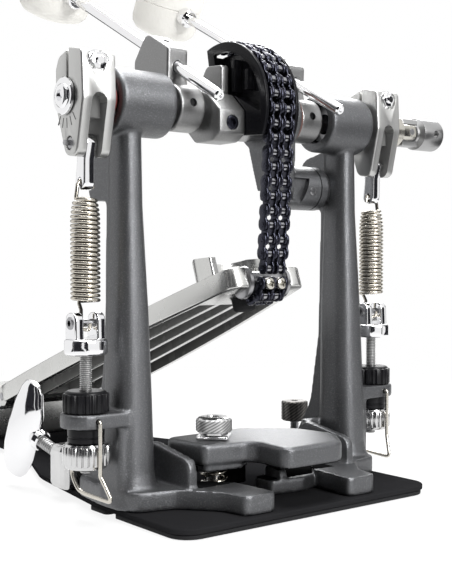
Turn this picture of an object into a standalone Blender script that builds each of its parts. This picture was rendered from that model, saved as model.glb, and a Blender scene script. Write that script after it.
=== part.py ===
"""Primary unit of a twin bass drum pedal, modelled in metres with +Z up.

The axle lies along X, the drum is towards -Y and the player's heel towards +Y.
The origin is on the floor under the middle of the axle.
"""

import math

import bmesh
import bpy
from mathutils import Matrix, Vector

MM = 0.001

# Fits
GAP = 0.3 * MM
BORE_PLAY = 0.35 * MM

# Base
PLATE_HALF = 90 * MM
PLATE_FRONT = -66 * MM
PLATE_BACK = 300 * MM
PLATE_THICK = 3 * MM
SOLE_THICK = 2.3 * MM
TAIL_HALF = 48 * MM
PLATE_TOP = SOLE_THICK + GAP + PLATE_THICK

# Axle line
AXLE_HEIGHT = 220 * MM
AXLE_FLATS = 10 * MM
AXLE_CORNER = AXLE_FLATS / math.sqrt(3)
BEATER_SWING = math.radians(62)

# Posts
POST_X = 79 * MM
HOUSING_RADIUS = 17.7 * MM
HOUSING_INNER = 57 * MM
HOUSING_OUTER = 91 * MM
BEARING_RADIUS = 12 * MM
BEARING_LENGTH = 9 * MM
ARM_LOW = 50 * MM
ARM_HIGH = 57.7 * MM
FOOT_HIGH = 16 * MM

# Spring line
SPRING_X = 105 * MM
SPRING_Y = -1.6 * MM
COIL_RADIUS = 6.4 * MM
WIRE_RADIUS = 0.85 * MM
COIL_RISE = 11 * MM
COIL_DROP = 6 * MM
COIL_TURNS = 16.75
CURL_POINTS = 8
LINK_PIVOT_Y = -3.2 * MM
LINK_PIVOT_DROP = 24 * MM
LINK_EYE_DROP = 46 * MM
PIN_RADIUS = 2.5 * MM
CLEVIS_PIN_HEIGHT = 104 * MM
TENSION_RADIUS = 3.2 * MM
TENSION_LOW = 26 * MM
CLEVIS_RADIUS = 11.6 * MM

# Rocker
ROCKER_INNER = 95 * MM
ROCKER_OUTER = 115 * MM
FORK_WIDTH = 9 * MM
ROCKER_BOLT_RISE = 17 * MM

# Hubs and beaters
HUB_INNER = 35.5 * MM
HUB_OUTER = 52 * MM
HUB_RADIUS = 13 * MM
ROD_RADIUS = 3.2 * MM
ROD_OFFSET = 19.3 * MM
ROD_LOW = -31 * MM
ROD_HIGH = 150 * MM
HEAD_RADIUS = 23 * MM
HEAD_DEPTH = 40 * MM

# Cam and chain
CHAIN_X = -2 * MM
CHAIN_PITCH = 8 * MM
CHAIN_HALF = 8.9 * MM
OUTER_PLATE = 1.8 * MM
LINK_HALF_HEIGHT = 3.4 * MM
ROLLER_RADIUS = 2.5 * MM
CHAIN_PIN_RADIUS = 1.3 * MM
CAM_RADIUS = 36 * MM
CAM_GROWTH = 0.02 * MM
FLANGE_RISE = 2.4 * MM
DRUM_DROP = 4.2 * MM
CHAIN_AHEAD = 3.1 * MM
CHAIN_ABOVE = 4.6 * MM
BODY_LINKS = 2
WRAP_LINKS = 3

# Centre bearing arm
ARM_INNER = 12 * MM
ARM_OUTER = 30 * MM
CENTRE_RADIUS = 19.5 * MM
BOSS_DROP = 39 * MM
BOSS_RADIUS = 13.5 * MM

# Footboard and heel
HINGE_Y = 222 * MM
HINGE_Z = 38 * MM
BOARD_LENGTH = 264 * MM
BOARD_SLOPE = math.radians(19.8)
BOARD_TOE_HALF = 26 * MM
BOARD_FLARE = 2.1
BOARD_HEEL_HALF = 48 * MM
BOARD_TOP = 6 * MM
BOARD_SKIN = 4 * MM
RAIL_DROP = 6 * MM
RIB_DROP = 3.6 * MM
KNUCKLE_RADIUS = 7 * MM
KNUCKLE_HALF = 20 * MM
HINGE_PIN_RADIUS = 2.6 * MM
CLAMP_HALF = 15 * MM
NOTCH_DEPTH = 17 * MM
TOE_STOP_HEIGHT = 14 * MM

# Hoop clamp
JAW_LOW = 26 * MM
JAW_HIGH = 38 * MM
BOLT_X = -31 * MM
BOLT_Y = -14 * MM
BOLT_RADIUS = 4 * MM
BOLT_HEAD_RADIUS = 10 * MM
BOLT_HEAD_HEIGHT = 10 * MM
WASHER_THICK = 1.6 * MM
BOLT_END = SOLE_THICK + GAP + 2 * MM
BOLT_HOLE = BOLT_RADIUS + 1.6 * MM

# Anchor spur
SPUR_X = 84 * MM
SPUR_Y = 48 * MM
SPUR_RADIUS = 3 * MM

# Drive coupling
YOKE_START = 119 * MM
YOKE_DEPTH = 7.2 * MM
YOKE_REACH = 7.3 * MM
CROSS_X = 135 * MM
SOCKET_END = 165 * MM
SOCKET_DEPTH = 14 * MM
SOCKET_RADIUS = 10.4 * MM
PRONG_INNER = 5.6 * MM
PRONG_OUTER = 8.8 * MM


for old in list(bpy.data.objects):
    bpy.data.objects.remove(old)


def material(name, colour, roughness, metallic):
    mat = bpy.data.materials.new(name)
    mat.use_nodes = True
    shader = mat.node_tree.nodes["Principled BSDF"]
    shader.inputs["Base Color"].default_value = (*colour, 1)
    shader.inputs["Roughness"].default_value = roughness
    shader.inputs["Metallic"].default_value = metallic
    return mat


FINISH = {
    "cast": material("cast_grey", (0.16, 0.16, 0.17), 0.45, 0.8),
    "alloy": material("satin_alloy", (0.62, 0.62, 0.61), 0.32, 1.0),
    "chrome": material("chrome", (0.82, 0.82, 0.83), 0.08, 1.0),
    "nickel": material("nickel", (0.72, 0.67, 0.58), 0.2, 1.0),
    "black": material("black_plastic", (0.02, 0.02, 0.022), 0.4, 0.0),
    "gloss": material("black_gloss", (0.015, 0.015, 0.016), 0.15, 0.2),
    "chain": material("blued_steel", (0.035, 0.035, 0.05), 0.25, 0.9),
    "plate": material("black_plate", (0.02, 0.02, 0.02), 0.5, 0.3),
    "rubber": material("rubber", (0.012, 0.012, 0.013), 0.8, 0.0),
    "seal": material("seal_red", (0.3, 0.05, 0.03), 0.5, 0.0),
    "steel": material("steel", (0.4, 0.4, 0.41), 0.3, 1.0),
    "felt": material("felt", (0.75, 0.73, 0.68), 0.95, 0.0),
}

PIVOTS = {}


def pivot(name, place, parent=None, turn=0.0):
    """An empty on a joint's axis, that the pieces of one moving body hang from."""
    empty = bpy.data.objects.new(name, None)
    bpy.context.scene.collection.objects.link(empty)
    base = Vector((0, 0, 0))
    if parent:
        empty.parent = bpy.data.objects[parent]
        base = PIVOTS[parent]
    empty.location = Vector(place) - base
    empty.rotation_euler.x = turn
    PIVOTS[name] = Vector(place)
    return empty


def add(name, bm, finish, origin=(0, 0, 0), parent=None, smooth=35):
    """Link a mesh whose points are in the world frame, with its origin at the given place."""
    origin = Vector(origin)
    base = Vector((0, 0, 0))
    bmesh.ops.translate(bm, verts=bm.verts, vec=-origin)
    bmesh.ops.recalc_face_normals(bm, faces=bm.faces)
    mesh = bpy.data.meshes.new(name)
    bm.to_mesh(mesh)
    bm.free()
    mesh.materials.append(FINISH[finish])
    mesh.shade_smooth()
    mesh.set_sharp_from_angle(angle=math.radians(smooth))
    thing = bpy.data.objects.new(name, mesh)
    bpy.context.scene.collection.objects.link(thing)
    if parent:
        thing.parent = bpy.data.objects[parent]
        base = PIVOTS[parent]
    thing.location = origin - base
    return thing


def tool(bm, target, operation):
    """Join a helper mesh to a piece, or cut the piece with it."""
    bmesh.ops.recalc_face_normals(bm, faces=bm.faces)
    mesh = bpy.data.meshes.new(f"{target.name}_{operation.lower()}")
    bm.to_mesh(mesh)
    bm.free()
    helper = bpy.data.objects.new(mesh.name, mesh)
    bpy.context.scene.collection.objects.link(helper)
    helper.hide_render = True
    helper.display_type = "WIRE"
    step = target.modifiers.new(operation.lower(), "BOOLEAN")
    step.operation = operation
    step.solver = "EXACT"
    step.object = helper
    return helper


def cut(target, bm):
    return tool(bm, target, "DIFFERENCE")


def join(target, bm):
    return tool(bm, target, "UNION")


def rounded(corners, steps=3):
    """Outline through (a, b, radius) corners, each rounded by an arc of its radius."""
    points = []
    count = len(corners)
    for i, (a, b, radius) in enumerate(corners):
        here = Vector((a, b))
        back = Vector(corners[i - 1][:2]) - here
        ahead = Vector(corners[(i + 1) % count][:2]) - here
        if radius <= 0:
            points.append(here)
            continue
        half = back.angle(ahead) / 2
        reach = radius / math.tan(half)
        first = here + back.normalized() * reach
        last = here + ahead.normalized() * reach
        middle = (back.normalized() + ahead.normalized()).normalized()
        centre = here + middle * (radius / math.sin(half))
        start = first - centre
        sweep = start.angle_signed(last - centre)
        for k in range(steps + 1):
            turn = -sweep * k / steps
            spin = Matrix.Rotation(turn, 2)
            points.append(centre + spin @ start)
    return points


def scaled(corners):
    return [(a * MM, b * MM, radius * MM) for a, b, radius in corners]


def circle(radius, sides, turn=0.0):
    step = 2 * math.pi / sides
    return [Vector((radius * math.cos(turn + k * step), radius * math.sin(turn + k * step)))
            for k in range(sides)]


def lobed(outer, inner, lobes):
    """A ribbed outline: the radius goes in and out once for each rib."""
    points = []
    for k in range(lobes * 2):
        radius = outer if k % 2 == 0 else inner
        turn = math.pi * k / lobes
        points.append(Vector((radius * math.cos(turn), radius * math.sin(turn))))
    return points


def lift(axis, point, along):
    a, b = point
    if axis == "X":
        return Vector((along, a, b))
    if axis == "Y":
        return Vector((a, along, b))
    return Vector((a, b, along))


def loft(rings):
    """A closed body through rings that have the same number of points."""
    bm = bmesh.new()
    made = [[bm.verts.new(p) for p in ring] for ring in rings]
    count = len(made[0])
    for low, high in zip(made, made[1:]):
        for k in range(count):
            bm.faces.new((low[k], low[(k + 1) % count], high[(k + 1) % count], high[k]))
    bm.faces.new(made[0])
    bm.faces.new(made[-1])
    bmesh.ops.recalc_face_normals(bm, faces=bm.faces)
    return bm


def prism(axis, outline, low, high, centre=(0, 0)):
    shift = Vector(centre)
    ends = [[lift(axis, Vector(p) + shift, along) for p in outline] for along in (low, high)]
    return loft(ends)


def stepped(axis, outlines, centre=(0, 0)):
    """A body whose outline changes along an axis: (place, outline) pairs in order."""
    shift = Vector(centre)
    return loft([[lift(axis, Vector(p) + shift, along) for p in outline] for along, outline in outlines])


def rod(axis, radius, low, high, centre=(0, 0), sides=10):
    return prism(axis, circle(radius, sides, math.pi / sides), low, high, centre)


def turned(axis, profile, centre=(0, 0), sides=16):
    """A solid of revolution from (place, radius) pairs along its axis."""
    return stepped(axis, [(along, circle(radius, sides)) for along, radius in profile], centre)


def ring(axis, outer, inner, low, high, centre=(0, 0), sides=12):
    """A plain bush or bearing ring."""
    bm = bmesh.new()
    shift = Vector(centre)
    loops = []
    for radius, along in ((outer, low), (outer, high), (inner, high), (inner, low)):
        loops.append([bm.verts.new(lift(axis, p + shift, along)) for p in circle(radius, sides)])
    for one, two in zip(loops, loops[1:] + loops[:1]):
        for k in range(sides):
            bm.faces.new((one[k], one[(k + 1) % sides], two[(k + 1) % sides], two[k]))
    bmesh.ops.recalc_face_normals(bm, faces=bm.faces)
    return bm


def soften(bm, width, segments=1, angle=50):
    """Bevel the sharp edges of a cast shape."""
    limit = math.radians(angle)
    edges = [e for e in bm.edges if e.calc_face_angle(0) > limit]
    bmesh.ops.bevel(bm, geom=edges, offset=width, segments=segments, profile=0.5,
                    affect="EDGES", clamp_overlap=True, material=-1)
    return bm


def mirrored(bm, side):
    """Keep a shape built on the right, or turn it into its left-hand twin."""
    if side < 0:
        bmesh.ops.scale(bm, vec=(-1, 1, 1), verts=bm.verts)
        bmesh.ops.reverse_faces(bm, faces=bm.faces)
    return bm


def axle_bore(low, high):
    flats = AXLE_CORNER + BORE_PLAY
    return prism("X", circle(flats, 6), low, high, (0, AXLE_HEIGHT))


def wire(name, points, radius, finish, origin=(0, 0, 0), parent=None):
    """A bent or coiled round wire along a list of places."""
    origin = Vector(origin)
    base = PIVOTS[parent] if parent else Vector((0, 0, 0))
    curve = bpy.data.curves.new(name, "CURVE")
    curve.dimensions = "3D"
    curve.bevel_depth = radius
    curve.bevel_resolution = 1
    curve.use_fill_caps = True
    spline = curve.splines.new("POLY")
    spline.points.add(len(points) - 1)
    for point, place in zip(spline.points, points):
        point.co = (*(Vector(place) - origin), 1)
    curve.materials.append(FINISH[finish])
    thing = bpy.data.objects.new(name, curve)
    bpy.context.scene.collection.objects.link(thing)
    if parent:
        thing.parent = bpy.data.objects[parent]
    thing.location = origin - base
    return thing


def least_gap(points, radius, reach):
    """Smallest clear distance between parts of a wire more than `reach` points apart."""
    nearest = min((points[i] - points[j]).length
                  for i in range(len(points)) for j in range(i + reach, len(points)))
    return nearest - 2 * radius


SIDES = (("left", -1), ("right", 1))


def base_outline(inset):
    half = PLATE_HALF - inset
    tail = TAIL_HALF - inset
    right = [(half, PLATE_FRONT + inset, 13 * MM), (half, 2 * MM, 60 * MM),
             (half - 18 * MM, 100 * MM, 60 * MM), (tail, 168 * MM, 40 * MM),
             (tail, PLATE_BACK - inset, 15 * MM)]
    left = [(-a, b, radius) for a, b, radius in reversed(right)]
    return rounded(right + left, 4)


def make_base():
    bottom = SOLE_THICK + GAP
    plate = prism("Z", base_outline(0), bottom, PLATE_TOP)
    plate = add("base_plate", plate, "plate")
    hole = rod("Z", BOLT_HOLE, bottom - 2 * MM, PLATE_TOP + 2 * MM, (BOLT_X, BOLT_Y), 14)
    cut(plate, hole)
    inset = 1 * MM
    half = PLATE_HALF - inset
    strip = TAIL_HALF - 6 * MM
    edge = -3 * MM
    right = [(half, PLATE_FRONT + inset, 12 * MM), (half, edge, 2 * MM), (strip + 14 * MM, edge, 4 * MM),
             (strip, 20 * MM, 8 * MM), (strip, PLATE_BACK - 4 * MM, 12 * MM)]
    left = [(-a, b, radius) for a, b, radius in reversed(right)]
    sole = prism("Z", rounded(right + left), 0, SOLE_THICK)
    add("rubber_sole", sole, "rubber")


def column_ring(height, half_x, front, back, radius):
    corners = [(POST_X - half_x, front, radius), (POST_X + half_x, front, radius),
               (POST_X + half_x, back, radius), (POST_X - half_x, back, radius)]
    return [Vector((p.x, p.y, height)) for p in rounded(corners)]


def make_post(name, side):
    foot_low = PLATE_TOP + GAP
    sections = [(foot_low, 14, -20, 17, 9), (FOOT_HIGH, 13, -18, 15, 8), (FOOT_HIGH + 6 * MM, 11, -16, 13, 7),
                (62 * MM, 10, -14, 12, 7), (110 * MM, 9, -12, 12, 6), (AXLE_HEIGHT - 8 * MM, 8, -10, 11, 6)]
    rings = [column_ring(z, hx * MM, front * MM, back * MM, radius * MM)
             for z, hx, front, back, radius in sections]
    post = add(name, mirrored(loft(rings), side), "cast")

    foot = rounded(scaled([(88, -22, 7), (93, 4, 8), (88, 40, 10), (60, 40, 10), (57, -2, 10), (29, -28, 8),
                           (26, -62, 3), (47, -62, 4), (50, -46, 14), (66, -27, 10)]))
    body = prism("Z", foot, foot_low, FOOT_HIGH)
    join(post, mirrored(body, side))

    cheek = rounded(scaled([(-31, 10, 0), (-31, 31, 6), (12, 38, 8), (12, 10, 0)]))
    join(post, mirrored(prism("X", cheek, 55 * MM, 60.5 * MM), side))
    shelf = rounded(scaled([(58, 6, 3), (58, 14, 3), (84, 14, 0), (84, 6, 0)]))
    join(post, mirrored(prism("Z", shelf, foot_low + 4 * MM, 37 * MM), side))

    web = rounded(scaled([(6, 9, 0), (44, 9, 3), (40, 18, 6), (23, 46, 26), (16, 90, 30), (15, 150, 0),
                          (20, 170, 10), (33, 174, 7), (33, 200, 9), (6, 206, 0)]))
    join(post, mirrored(prism("X", web, POST_X - 4.5 * MM, POST_X + 4.5 * MM), side))

    tip = SPRING_X + 13 * MM
    shelf_arm = rounded([(POST_X, -14 * MM, 0), (tip, -14 * MM, 11 * MM), (tip, 11 * MM, 11 * MM),
                         (POST_X, 11 * MM, 0)])
    join(post, mirrored(prism("Z", shelf_arm, ARM_LOW, ARM_HIGH), side))
    cheek_wall = rounded(scaled([(82, -13, 0), (91.5, -13, 3), (91.5, 9, 3), (82, 9, 0)]))
    join(post, mirrored(prism("Z", cheek_wall, FOOT_HIGH - 4 * MM, ARM_HIGH - 1 * MM), side))

    rim = HOUSING_RADIUS - 1 * MM
    profile = [(HOUSING_INNER, rim), (HOUSING_INNER + 1 * MM, HOUSING_RADIUS),
               (HOUSING_OUTER - 1 * MM, HOUSING_RADIUS), (HOUSING_OUTER, rim)]
    housing = turned("X", profile, (0, AXLE_HEIGHT))
    join(post, mirrored(housing, side))
    bore = rod("X", BEARING_RADIUS + GAP, HOUSING_INNER - 5 * MM, HOUSING_OUTER + 5 * MM,
               (0, AXLE_HEIGHT), 16)
    cut(post, mirrored(bore, side))
    hole = rod("Z", TENSION_RADIUS + BORE_PLAY, ARM_LOW - 3 * MM, ARM_HIGH + 3 * MM, (SPRING_X, SPRING_Y))
    cut(post, mirrored(hole, side))
    height = (ARM_LOW + ARM_HIGH) / 2
    for low, high in ((-20 * MM, -10 * MM), (7 * MM, 20 * MM)):
        cut(post, mirrored(rod("Y", 1.6 * MM, low, high, (SPRING_X, height), 8), side))
    return post


def make_cross_bar(post):
    """The right foot's inner bar with the fin under the hoop clamp, and its ear for the spur."""
    low = PLATE_TOP + GAP
    bar = rounded(scaled([(64, -6, 0), (64, -22, 0), (16, -36, 5), (-6, -33, 3), (-6, -18, 4), (30, -8, 8)]))
    join(post, soften(prism("Z", bar, low, FOOT_HIGH - 2 * MM), 1.5 * MM))
    fin = rounded(scaled([(-33, 8, 0), (-33, 19, 2), (-20, 21.5, 2), (-20, 8, 0)]))
    join(post, prism("X", fin, 1 * MM, 6 * MM))
    ear = rounded(scaled([(75, 30, 0), (92, 30, 0), (92, 58, 8), (75, 58, 6)]))
    join(post, prism("Z", ear, low, FOOT_HIGH))
    cut(post, rod("Z", SPUR_RADIUS + BORE_PLAY, low - 5 * MM, FOOT_HIGH + 5 * MM, (SPUR_X, SPUR_Y)))


def make_bearings():
    inner = AXLE_CORNER + BORE_PLAY
    for name, side in SIDES:
        middle = (HOUSING_INNER + HOUSING_OUTER) / 2
        low = middle - BEARING_LENGTH
        bearing = ring("X", BEARING_RADIUS, inner, low, low + 2 * BEARING_LENGTH, (0, AXLE_HEIGHT))
        add(f"{name}_bearing", mirrored(bearing, side), "steel")
    wide = ring("X", BEARING_RADIUS, inner, ARM_INNER + 1 * MM, ARM_OUTER - 1 * MM, (0, AXLE_HEIGHT))
    add("centre_bearing", wide, "steel")
    red = ring("X", BEARING_RADIUS, inner, -ROCKER_INNER + GAP, -HOUSING_OUTER - GAP, (0, AXLE_HEIGHT))
    add("left_seal", red, "seal")
    brown = ring("X", 15 * MM, inner, ARM_OUTER + GAP, HUB_INNER - GAP, (0, AXLE_HEIGHT))
    add("centre_seal", brown, "seal")


def make_centre_arm():
    boss_height = AXLE_HEIGHT - BOSS_DROP
    end = POST_X - 9 * MM - GAP
    profile = [(ARM_INNER, BOSS_RADIUS - 1.5 * MM), (ARM_INNER + 1.5 * MM, BOSS_RADIUS),
               (end - 6 * MM, BOSS_RADIUS), (end - 6 * MM, BOSS_RADIUS + 1 * MM), (end, BOSS_RADIUS + 1 * MM)]
    arm = add("centre_arm", turned("X", profile, (0, boss_height)), "cast")
    top = turned("X", [(ARM_INNER, CENTRE_RADIUS - 1 * MM), (ARM_INNER + 1 * MM, CENTRE_RADIUS),
                       (ARM_OUTER - 1 * MM, CENTRE_RADIUS), (ARM_OUTER, CENTRE_RADIUS - 1 * MM)],
                 (0, AXLE_HEIGHT), 16)
    join(arm, top)
    neck = [(-BOSS_RADIUS + 1 * MM, boss_height), (BOSS_RADIUS - 1 * MM, boss_height),
            (CENTRE_RADIUS - 5 * MM, AXLE_HEIGHT), (5 * MM - CENTRE_RADIUS, AXLE_HEIGHT)]
    join(arm, prism("X", neck, ARM_INNER + 0.5 * MM, ARM_OUTER - 0.5 * MM))
    cut(arm, rod("X", BEARING_RADIUS + GAP, ARM_INNER - 5 * MM, ARM_OUTER + 5 * MM, (0, AXLE_HEIGHT), 16))


def make_axles():
    main_low = -ROCKER_OUTER - GAP
    meet = (ARM_INNER + ARM_OUTER) / 2
    hexagon = circle(AXLE_CORNER, 6)
    main = prism("X", hexagon, main_low - 1 * MM, meet - GAP, (0, AXLE_HEIGHT))
    main = add("main_axle", main, "steel", (0, 0, AXLE_HEIGHT), "main_pivot")
    profile = [(main_low - 3.6 * MM, 5.5 * MM), (main_low - 2 * MM, 6.5 * MM),
               (main_low - 2 * MM, 9.6 * MM), (main_low, 9.6 * MM)]
    join(main, turned("X", profile, (0, AXLE_HEIGHT), 16))
    socket = prism("X", circle(3 * MM, 6), main_low - 6 * MM, main_low - 1.2 * MM, (0, AXLE_HEIGHT))
    cut(main, socket)
    slave = prism("X", hexagon, meet + GAP, YOKE_START + YOKE_DEPTH, (0, AXLE_HEIGHT))
    add("slave_axle", slave, "steel", (0, 0, AXLE_HEIGHT), "slave_pivot")


def rocker_outline():
    corners = scaled([(-15.5, 22, 3), (-3, 24.5, 4), (8, 21, 5), (11, 15, 5), (11, -4, 8), (1, -30, 5),
                      (-10, -31.5, 5), (-16.8, -2, 8)])
    return [p + Vector((0, AXLE_HEIGHT)) for p in rounded(corners)]


def make_rocker(name, side, parent):
    origin = (0, 0, AXLE_HEIGHT)
    body = prism("X", rocker_outline(), ROCKER_INNER, ROCKER_OUTER)
    rocker = add(f"{name}_rocker", mirrored(body, side), "alloy", origin, parent)
    half = FORK_WIDTH / 2
    fork = [(SPRING_X - half, AXLE_HEIGHT - 50 * MM), (SPRING_X + half, AXLE_HEIGHT - 50 * MM),
            (SPRING_X + half, AXLE_HEIGHT - 11 * MM), (SPRING_X - half, AXLE_HEIGHT - 11 * MM)]
    cut(rocker, mirrored(prism("Y", fork, -30 * MM, 30 * MM), side))
    below = AXLE_HEIGHT - 20 * MM
    top = AXLE_HEIGHT + 1 * MM
    groove = rounded([(SPRING_X - half, below, 0), (SPRING_X + half, below, 0),
                      (SPRING_X + half, top, 4.2 * MM), (SPRING_X - half, top, 4.2 * MM)])
    cut(rocker, mirrored(prism("Y", groove, -30 * MM, -9.5 * MM), side))
    cut(rocker, mirrored(axle_bore(ROCKER_INNER - 5 * MM, ROCKER_OUTER + 5 * MM), side))
    split = [(-2.6 * MM, AXLE_HEIGHT), (-0.4 * MM, AXLE_HEIGHT),
             (-0.4 * MM, AXLE_HEIGHT + 30 * MM), (-2.6 * MM, AXLE_HEIGHT + 30 * MM)]
    cut(rocker, mirrored(prism("X", split, ROCKER_INNER - 5 * MM, ROCKER_OUTER + 5 * MM), side))
    bolt_z = AXLE_HEIGHT + ROCKER_BOLT_RISE
    cut(rocker, mirrored(rod("Y", 2.5 * MM + BORE_PLAY, -30 * MM, 30 * MM, (SPRING_X, bolt_z), 10), side))
    cut(rocker, mirrored(rod("Y", 6.3 * MM, -30 * MM, -11.5 * MM, (SPRING_X, bolt_z), 12), side))
    pin = rod("X", PIN_RADIUS, ROCKER_INNER + 2 * MM, ROCKER_OUTER - 2 * MM,
              (LINK_PIVOT_Y, AXLE_HEIGHT - LINK_PIVOT_DROP), 12)
    join(rocker, mirrored(pin, side))
    bolt = stepped("Y", [(-15 * MM, circle(3.4 * MM, 6)), (-14 * MM, circle(5 * MM, 6)),
                         (-11.8 * MM, circle(5 * MM, 6)), (-11.8 * MM, circle(2.5 * MM, 6)),
                         (9 * MM, circle(2.5 * MM, 6))], (SPRING_X, bolt_z))
    add(f"{name}_rocker_bolt", mirrored(bolt, side), "chrome", origin, parent)


def hub_space(thing):
    """Turn a hub piece, built with its beater upright, back to where the beater rests."""
    thing.rotation_euler.x = -BEATER_SWING


def make_hub(name, side, parent):
    origin = (0, 0, AXLE_HEIGHT)
    side_view = rounded(scaled([(-28.5, 17, 2), (-28.5, 42, 6), (-10, 46, 3), (6, 38, 8), (12, 6, 3),
                                (8, -9, 3), (-9, -8, 3), (-11.5, 9, 6)]))
    side_view = [p + Vector((0, AXLE_HEIGHT)) for p in side_view]
    body = prism("X", side_view, HUB_INNER + 1.5 * MM, HUB_OUTER - 1.5 * MM)
    hub = add(f"{name}_hub", mirrored(body, side), "alloy", origin, parent)
    hub_space(hub)
    collar = turned("X", [(HUB_INNER, HUB_RADIUS - 0.8 * MM), (HUB_INNER + 0.8 * MM, HUB_RADIUS),
                          (HUB_OUTER - 0.8 * MM, HUB_RADIUS), (HUB_OUTER, HUB_RADIUS - 0.8 * MM)],
                    (0, AXLE_HEIGHT), 16)
    tools = [join(hub, mirrored(collar, side))]
    middle = (HUB_INNER + HUB_OUTER) / 2
    channel = rod("Z", ROD_RADIUS + BORE_PLAY, AXLE_HEIGHT - 60 * MM, AXLE_HEIGHT + 90 * MM,
                  (middle, -ROD_OFFSET))
    tools.append(cut(hub, mirrored(channel, side)))
    key = rod("Y", 2.2 * MM, -40 * MM, -ROD_OFFSET, (middle, AXLE_HEIGHT + 30 * MM), 10)
    tools.append(cut(hub, mirrored(key, side)))
    slot = [(middle - 5 * MM, AXLE_HEIGHT + 33 * MM), (middle + 5 * MM, AXLE_HEIGHT + 33 * MM),
            (middle + 5 * MM, AXLE_HEIGHT + 60 * MM), (middle - 5 * MM, AXLE_HEIGHT + 60 * MM)]
    tools.append(cut(hub, mirrored(prism("Y", slot, -13 * MM, -2 * MM), side)))
    for helper in tools:
        turn_about_axle(helper)
    cut(hub, mirrored(axle_bore(HUB_INNER - 5 * MM, HUB_OUTER + 5 * MM), side))
    make_beater(name, side, parent, middle)


def turn_about_axle(helper):
    place = Matrix.Translation((0, 0, AXLE_HEIGHT))
    helper.matrix_world = place @ Matrix.Rotation(-BEATER_SWING, 4, "X") @ place.inverted()


def make_beater(name, side, parent, middle):
    origin = (0, 0, AXLE_HEIGHT)
    low = AXLE_HEIGHT + ROD_LOW
    high = AXLE_HEIGHT + ROD_HIGH
    stick = turned("Z", [(low, ROD_RADIUS - 0.5 * MM), (low + 0.5 * MM, ROD_RADIUS), (high, ROD_RADIUS)],
                   (middle, -ROD_OFFSET), 14)
    stick = add(f"{name}_beater_rod", mirrored(stick, side), "chrome", origin, parent)
    hub_space(stick)
    profile = [(-0.5, 0.62), (-0.46, 0.84), (-0.36, 1.0), (0.30, 1.0), (0.44, 0.88), (0.5, 0.6)]
    head_z = high + HEAD_RADIUS - 8 * MM
    head = turned("Y", [(a * HEAD_DEPTH - ROD_OFFSET, r * HEAD_RADIUS) for a, r in profile],
                  (middle, head_z), 12)
    head = add(f"{name}_beater_head", mirrored(head, side), "felt", origin, parent)
    hub_space(head)
    socket = rod("Z", ROD_RADIUS + GAP, high - 60 * MM, high + GAP, (middle, -ROD_OFFSET), 14)
    turn_about_axle(cut(head, mirrored(socket, side)))


def cam_radius(angle):
    """Pitch radius of the chain on the cam: it grows steadily from the front over the top."""
    return CAM_RADIUS + CAM_GROWTH * angle


def cam_point(angle, rise=0.0):
    turn = math.radians(angle)
    radius = cam_radius(angle) + rise
    return Vector((-radius * math.cos(turn), AXLE_HEIGHT + radius * math.sin(turn)))


def cam_outline(rise, steps=20):
    low, high = -24, 116
    arc = [cam_point(low + (high - low) * k / steps, rise) for k in range(steps + 1)]
    centre = Vector((0, AXLE_HEIGHT))
    inner = [(12, 30), (14, -6), (8, -14), (-14, -14)]
    return arc + [centre + Vector((a * MM, b * MM)) for a, b in inner]


def make_cam():
    origin = (0, 0, AXLE_HEIGHT)
    half = CHAIN_HALF + 0.7 * MM
    wall = 2.4 * MM
    low, high = CHAIN_X - half, CHAIN_X + half
    body = stepped("X", [(low - wall, cam_outline(FLANGE_RISE)), (low, cam_outline(FLANGE_RISE)),
                         (low, cam_outline(-DRUM_DROP)), (high, cam_outline(-DRUM_DROP)),
                         (high, cam_outline(FLANGE_RISE)), (high + wall, cam_outline(FLANGE_RISE))])
    cam = add("cam", body, "gloss", origin, "main_pivot")
    window = [cam_point(a, -DRUM_DROP - 5 * MM) for a in range(22, 83, 10)]
    window += [Vector((-2 * MM, AXLE_HEIGHT + 12 * MM)), Vector((-13 * MM, AXLE_HEIGHT + 10 * MM))]
    cut(cam, prism("X", window, low - 9 * MM, high + 9 * MM))
    cut(cam, axle_bore(low - 20 * MM, high + 20 * MM))
    holder_low = -HUB_INNER + 3 * MM
    holder_high = low - wall - GAP
    outline = rounded(scaled([(-21, -14, 2), (-21, -1, 2), (-10, 9, 3), (8, 12, 5), (14, 6, 4), (13, -8, 5),
                              (2, -18, 4), (-14, -18, 5)]))
    outline = [p + Vector((0, AXLE_HEIGHT)) for p in outline]
    holder = prism("X", outline, holder_low, holder_high)
    holder = add("cam_holder", holder, "alloy", origin, "main_pivot")
    cut(holder, axle_bore(holder_low - 9 * MM, holder_high + 9 * MM))
    middle = (holder_low + holder_high) / 2
    cut(holder, rod("Y", 3.2 * MM, -40 * MM, -17 * MM, (middle, AXLE_HEIGHT - 8 * MM), 12))


def chain_foot():
    """The lowest pin of the straight run, just ahead of the footboard's toe."""
    toe_y = HINGE_Y - BOARD_LENGTH * math.cos(BOARD_SLOPE)
    toe_z = HINGE_Z + BOARD_LENGTH * math.sin(BOARD_SLOPE)
    return Vector((toe_y - CHAIN_AHEAD, toe_z + CHAIN_ABOVE))


def chain_path():
    """Pins from the foot of the chain, straight up to the cam and then round it, one pitch apart."""
    foot = chain_foot()
    touch = min(range(-200, 400), key=lambda a: (cam_point(a / 10) - foot).angle(Vector((-1, 0)))) / 10
    straight = cam_point(touch) - foot
    run = int(straight.length / CHAIN_PITCH)
    pins = [foot + straight.normalized() * CHAIN_PITCH * k for k in range(run + 1)]
    angle = touch
    while len(pins) <= run + 3 * BODY_LINKS + WRAP_LINKS:
        while (cam_point(angle) - pins[-1]).length < CHAIN_PITCH:
            angle += 0.02
        pins.append(cam_point(angle))
    return pins, run


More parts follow.
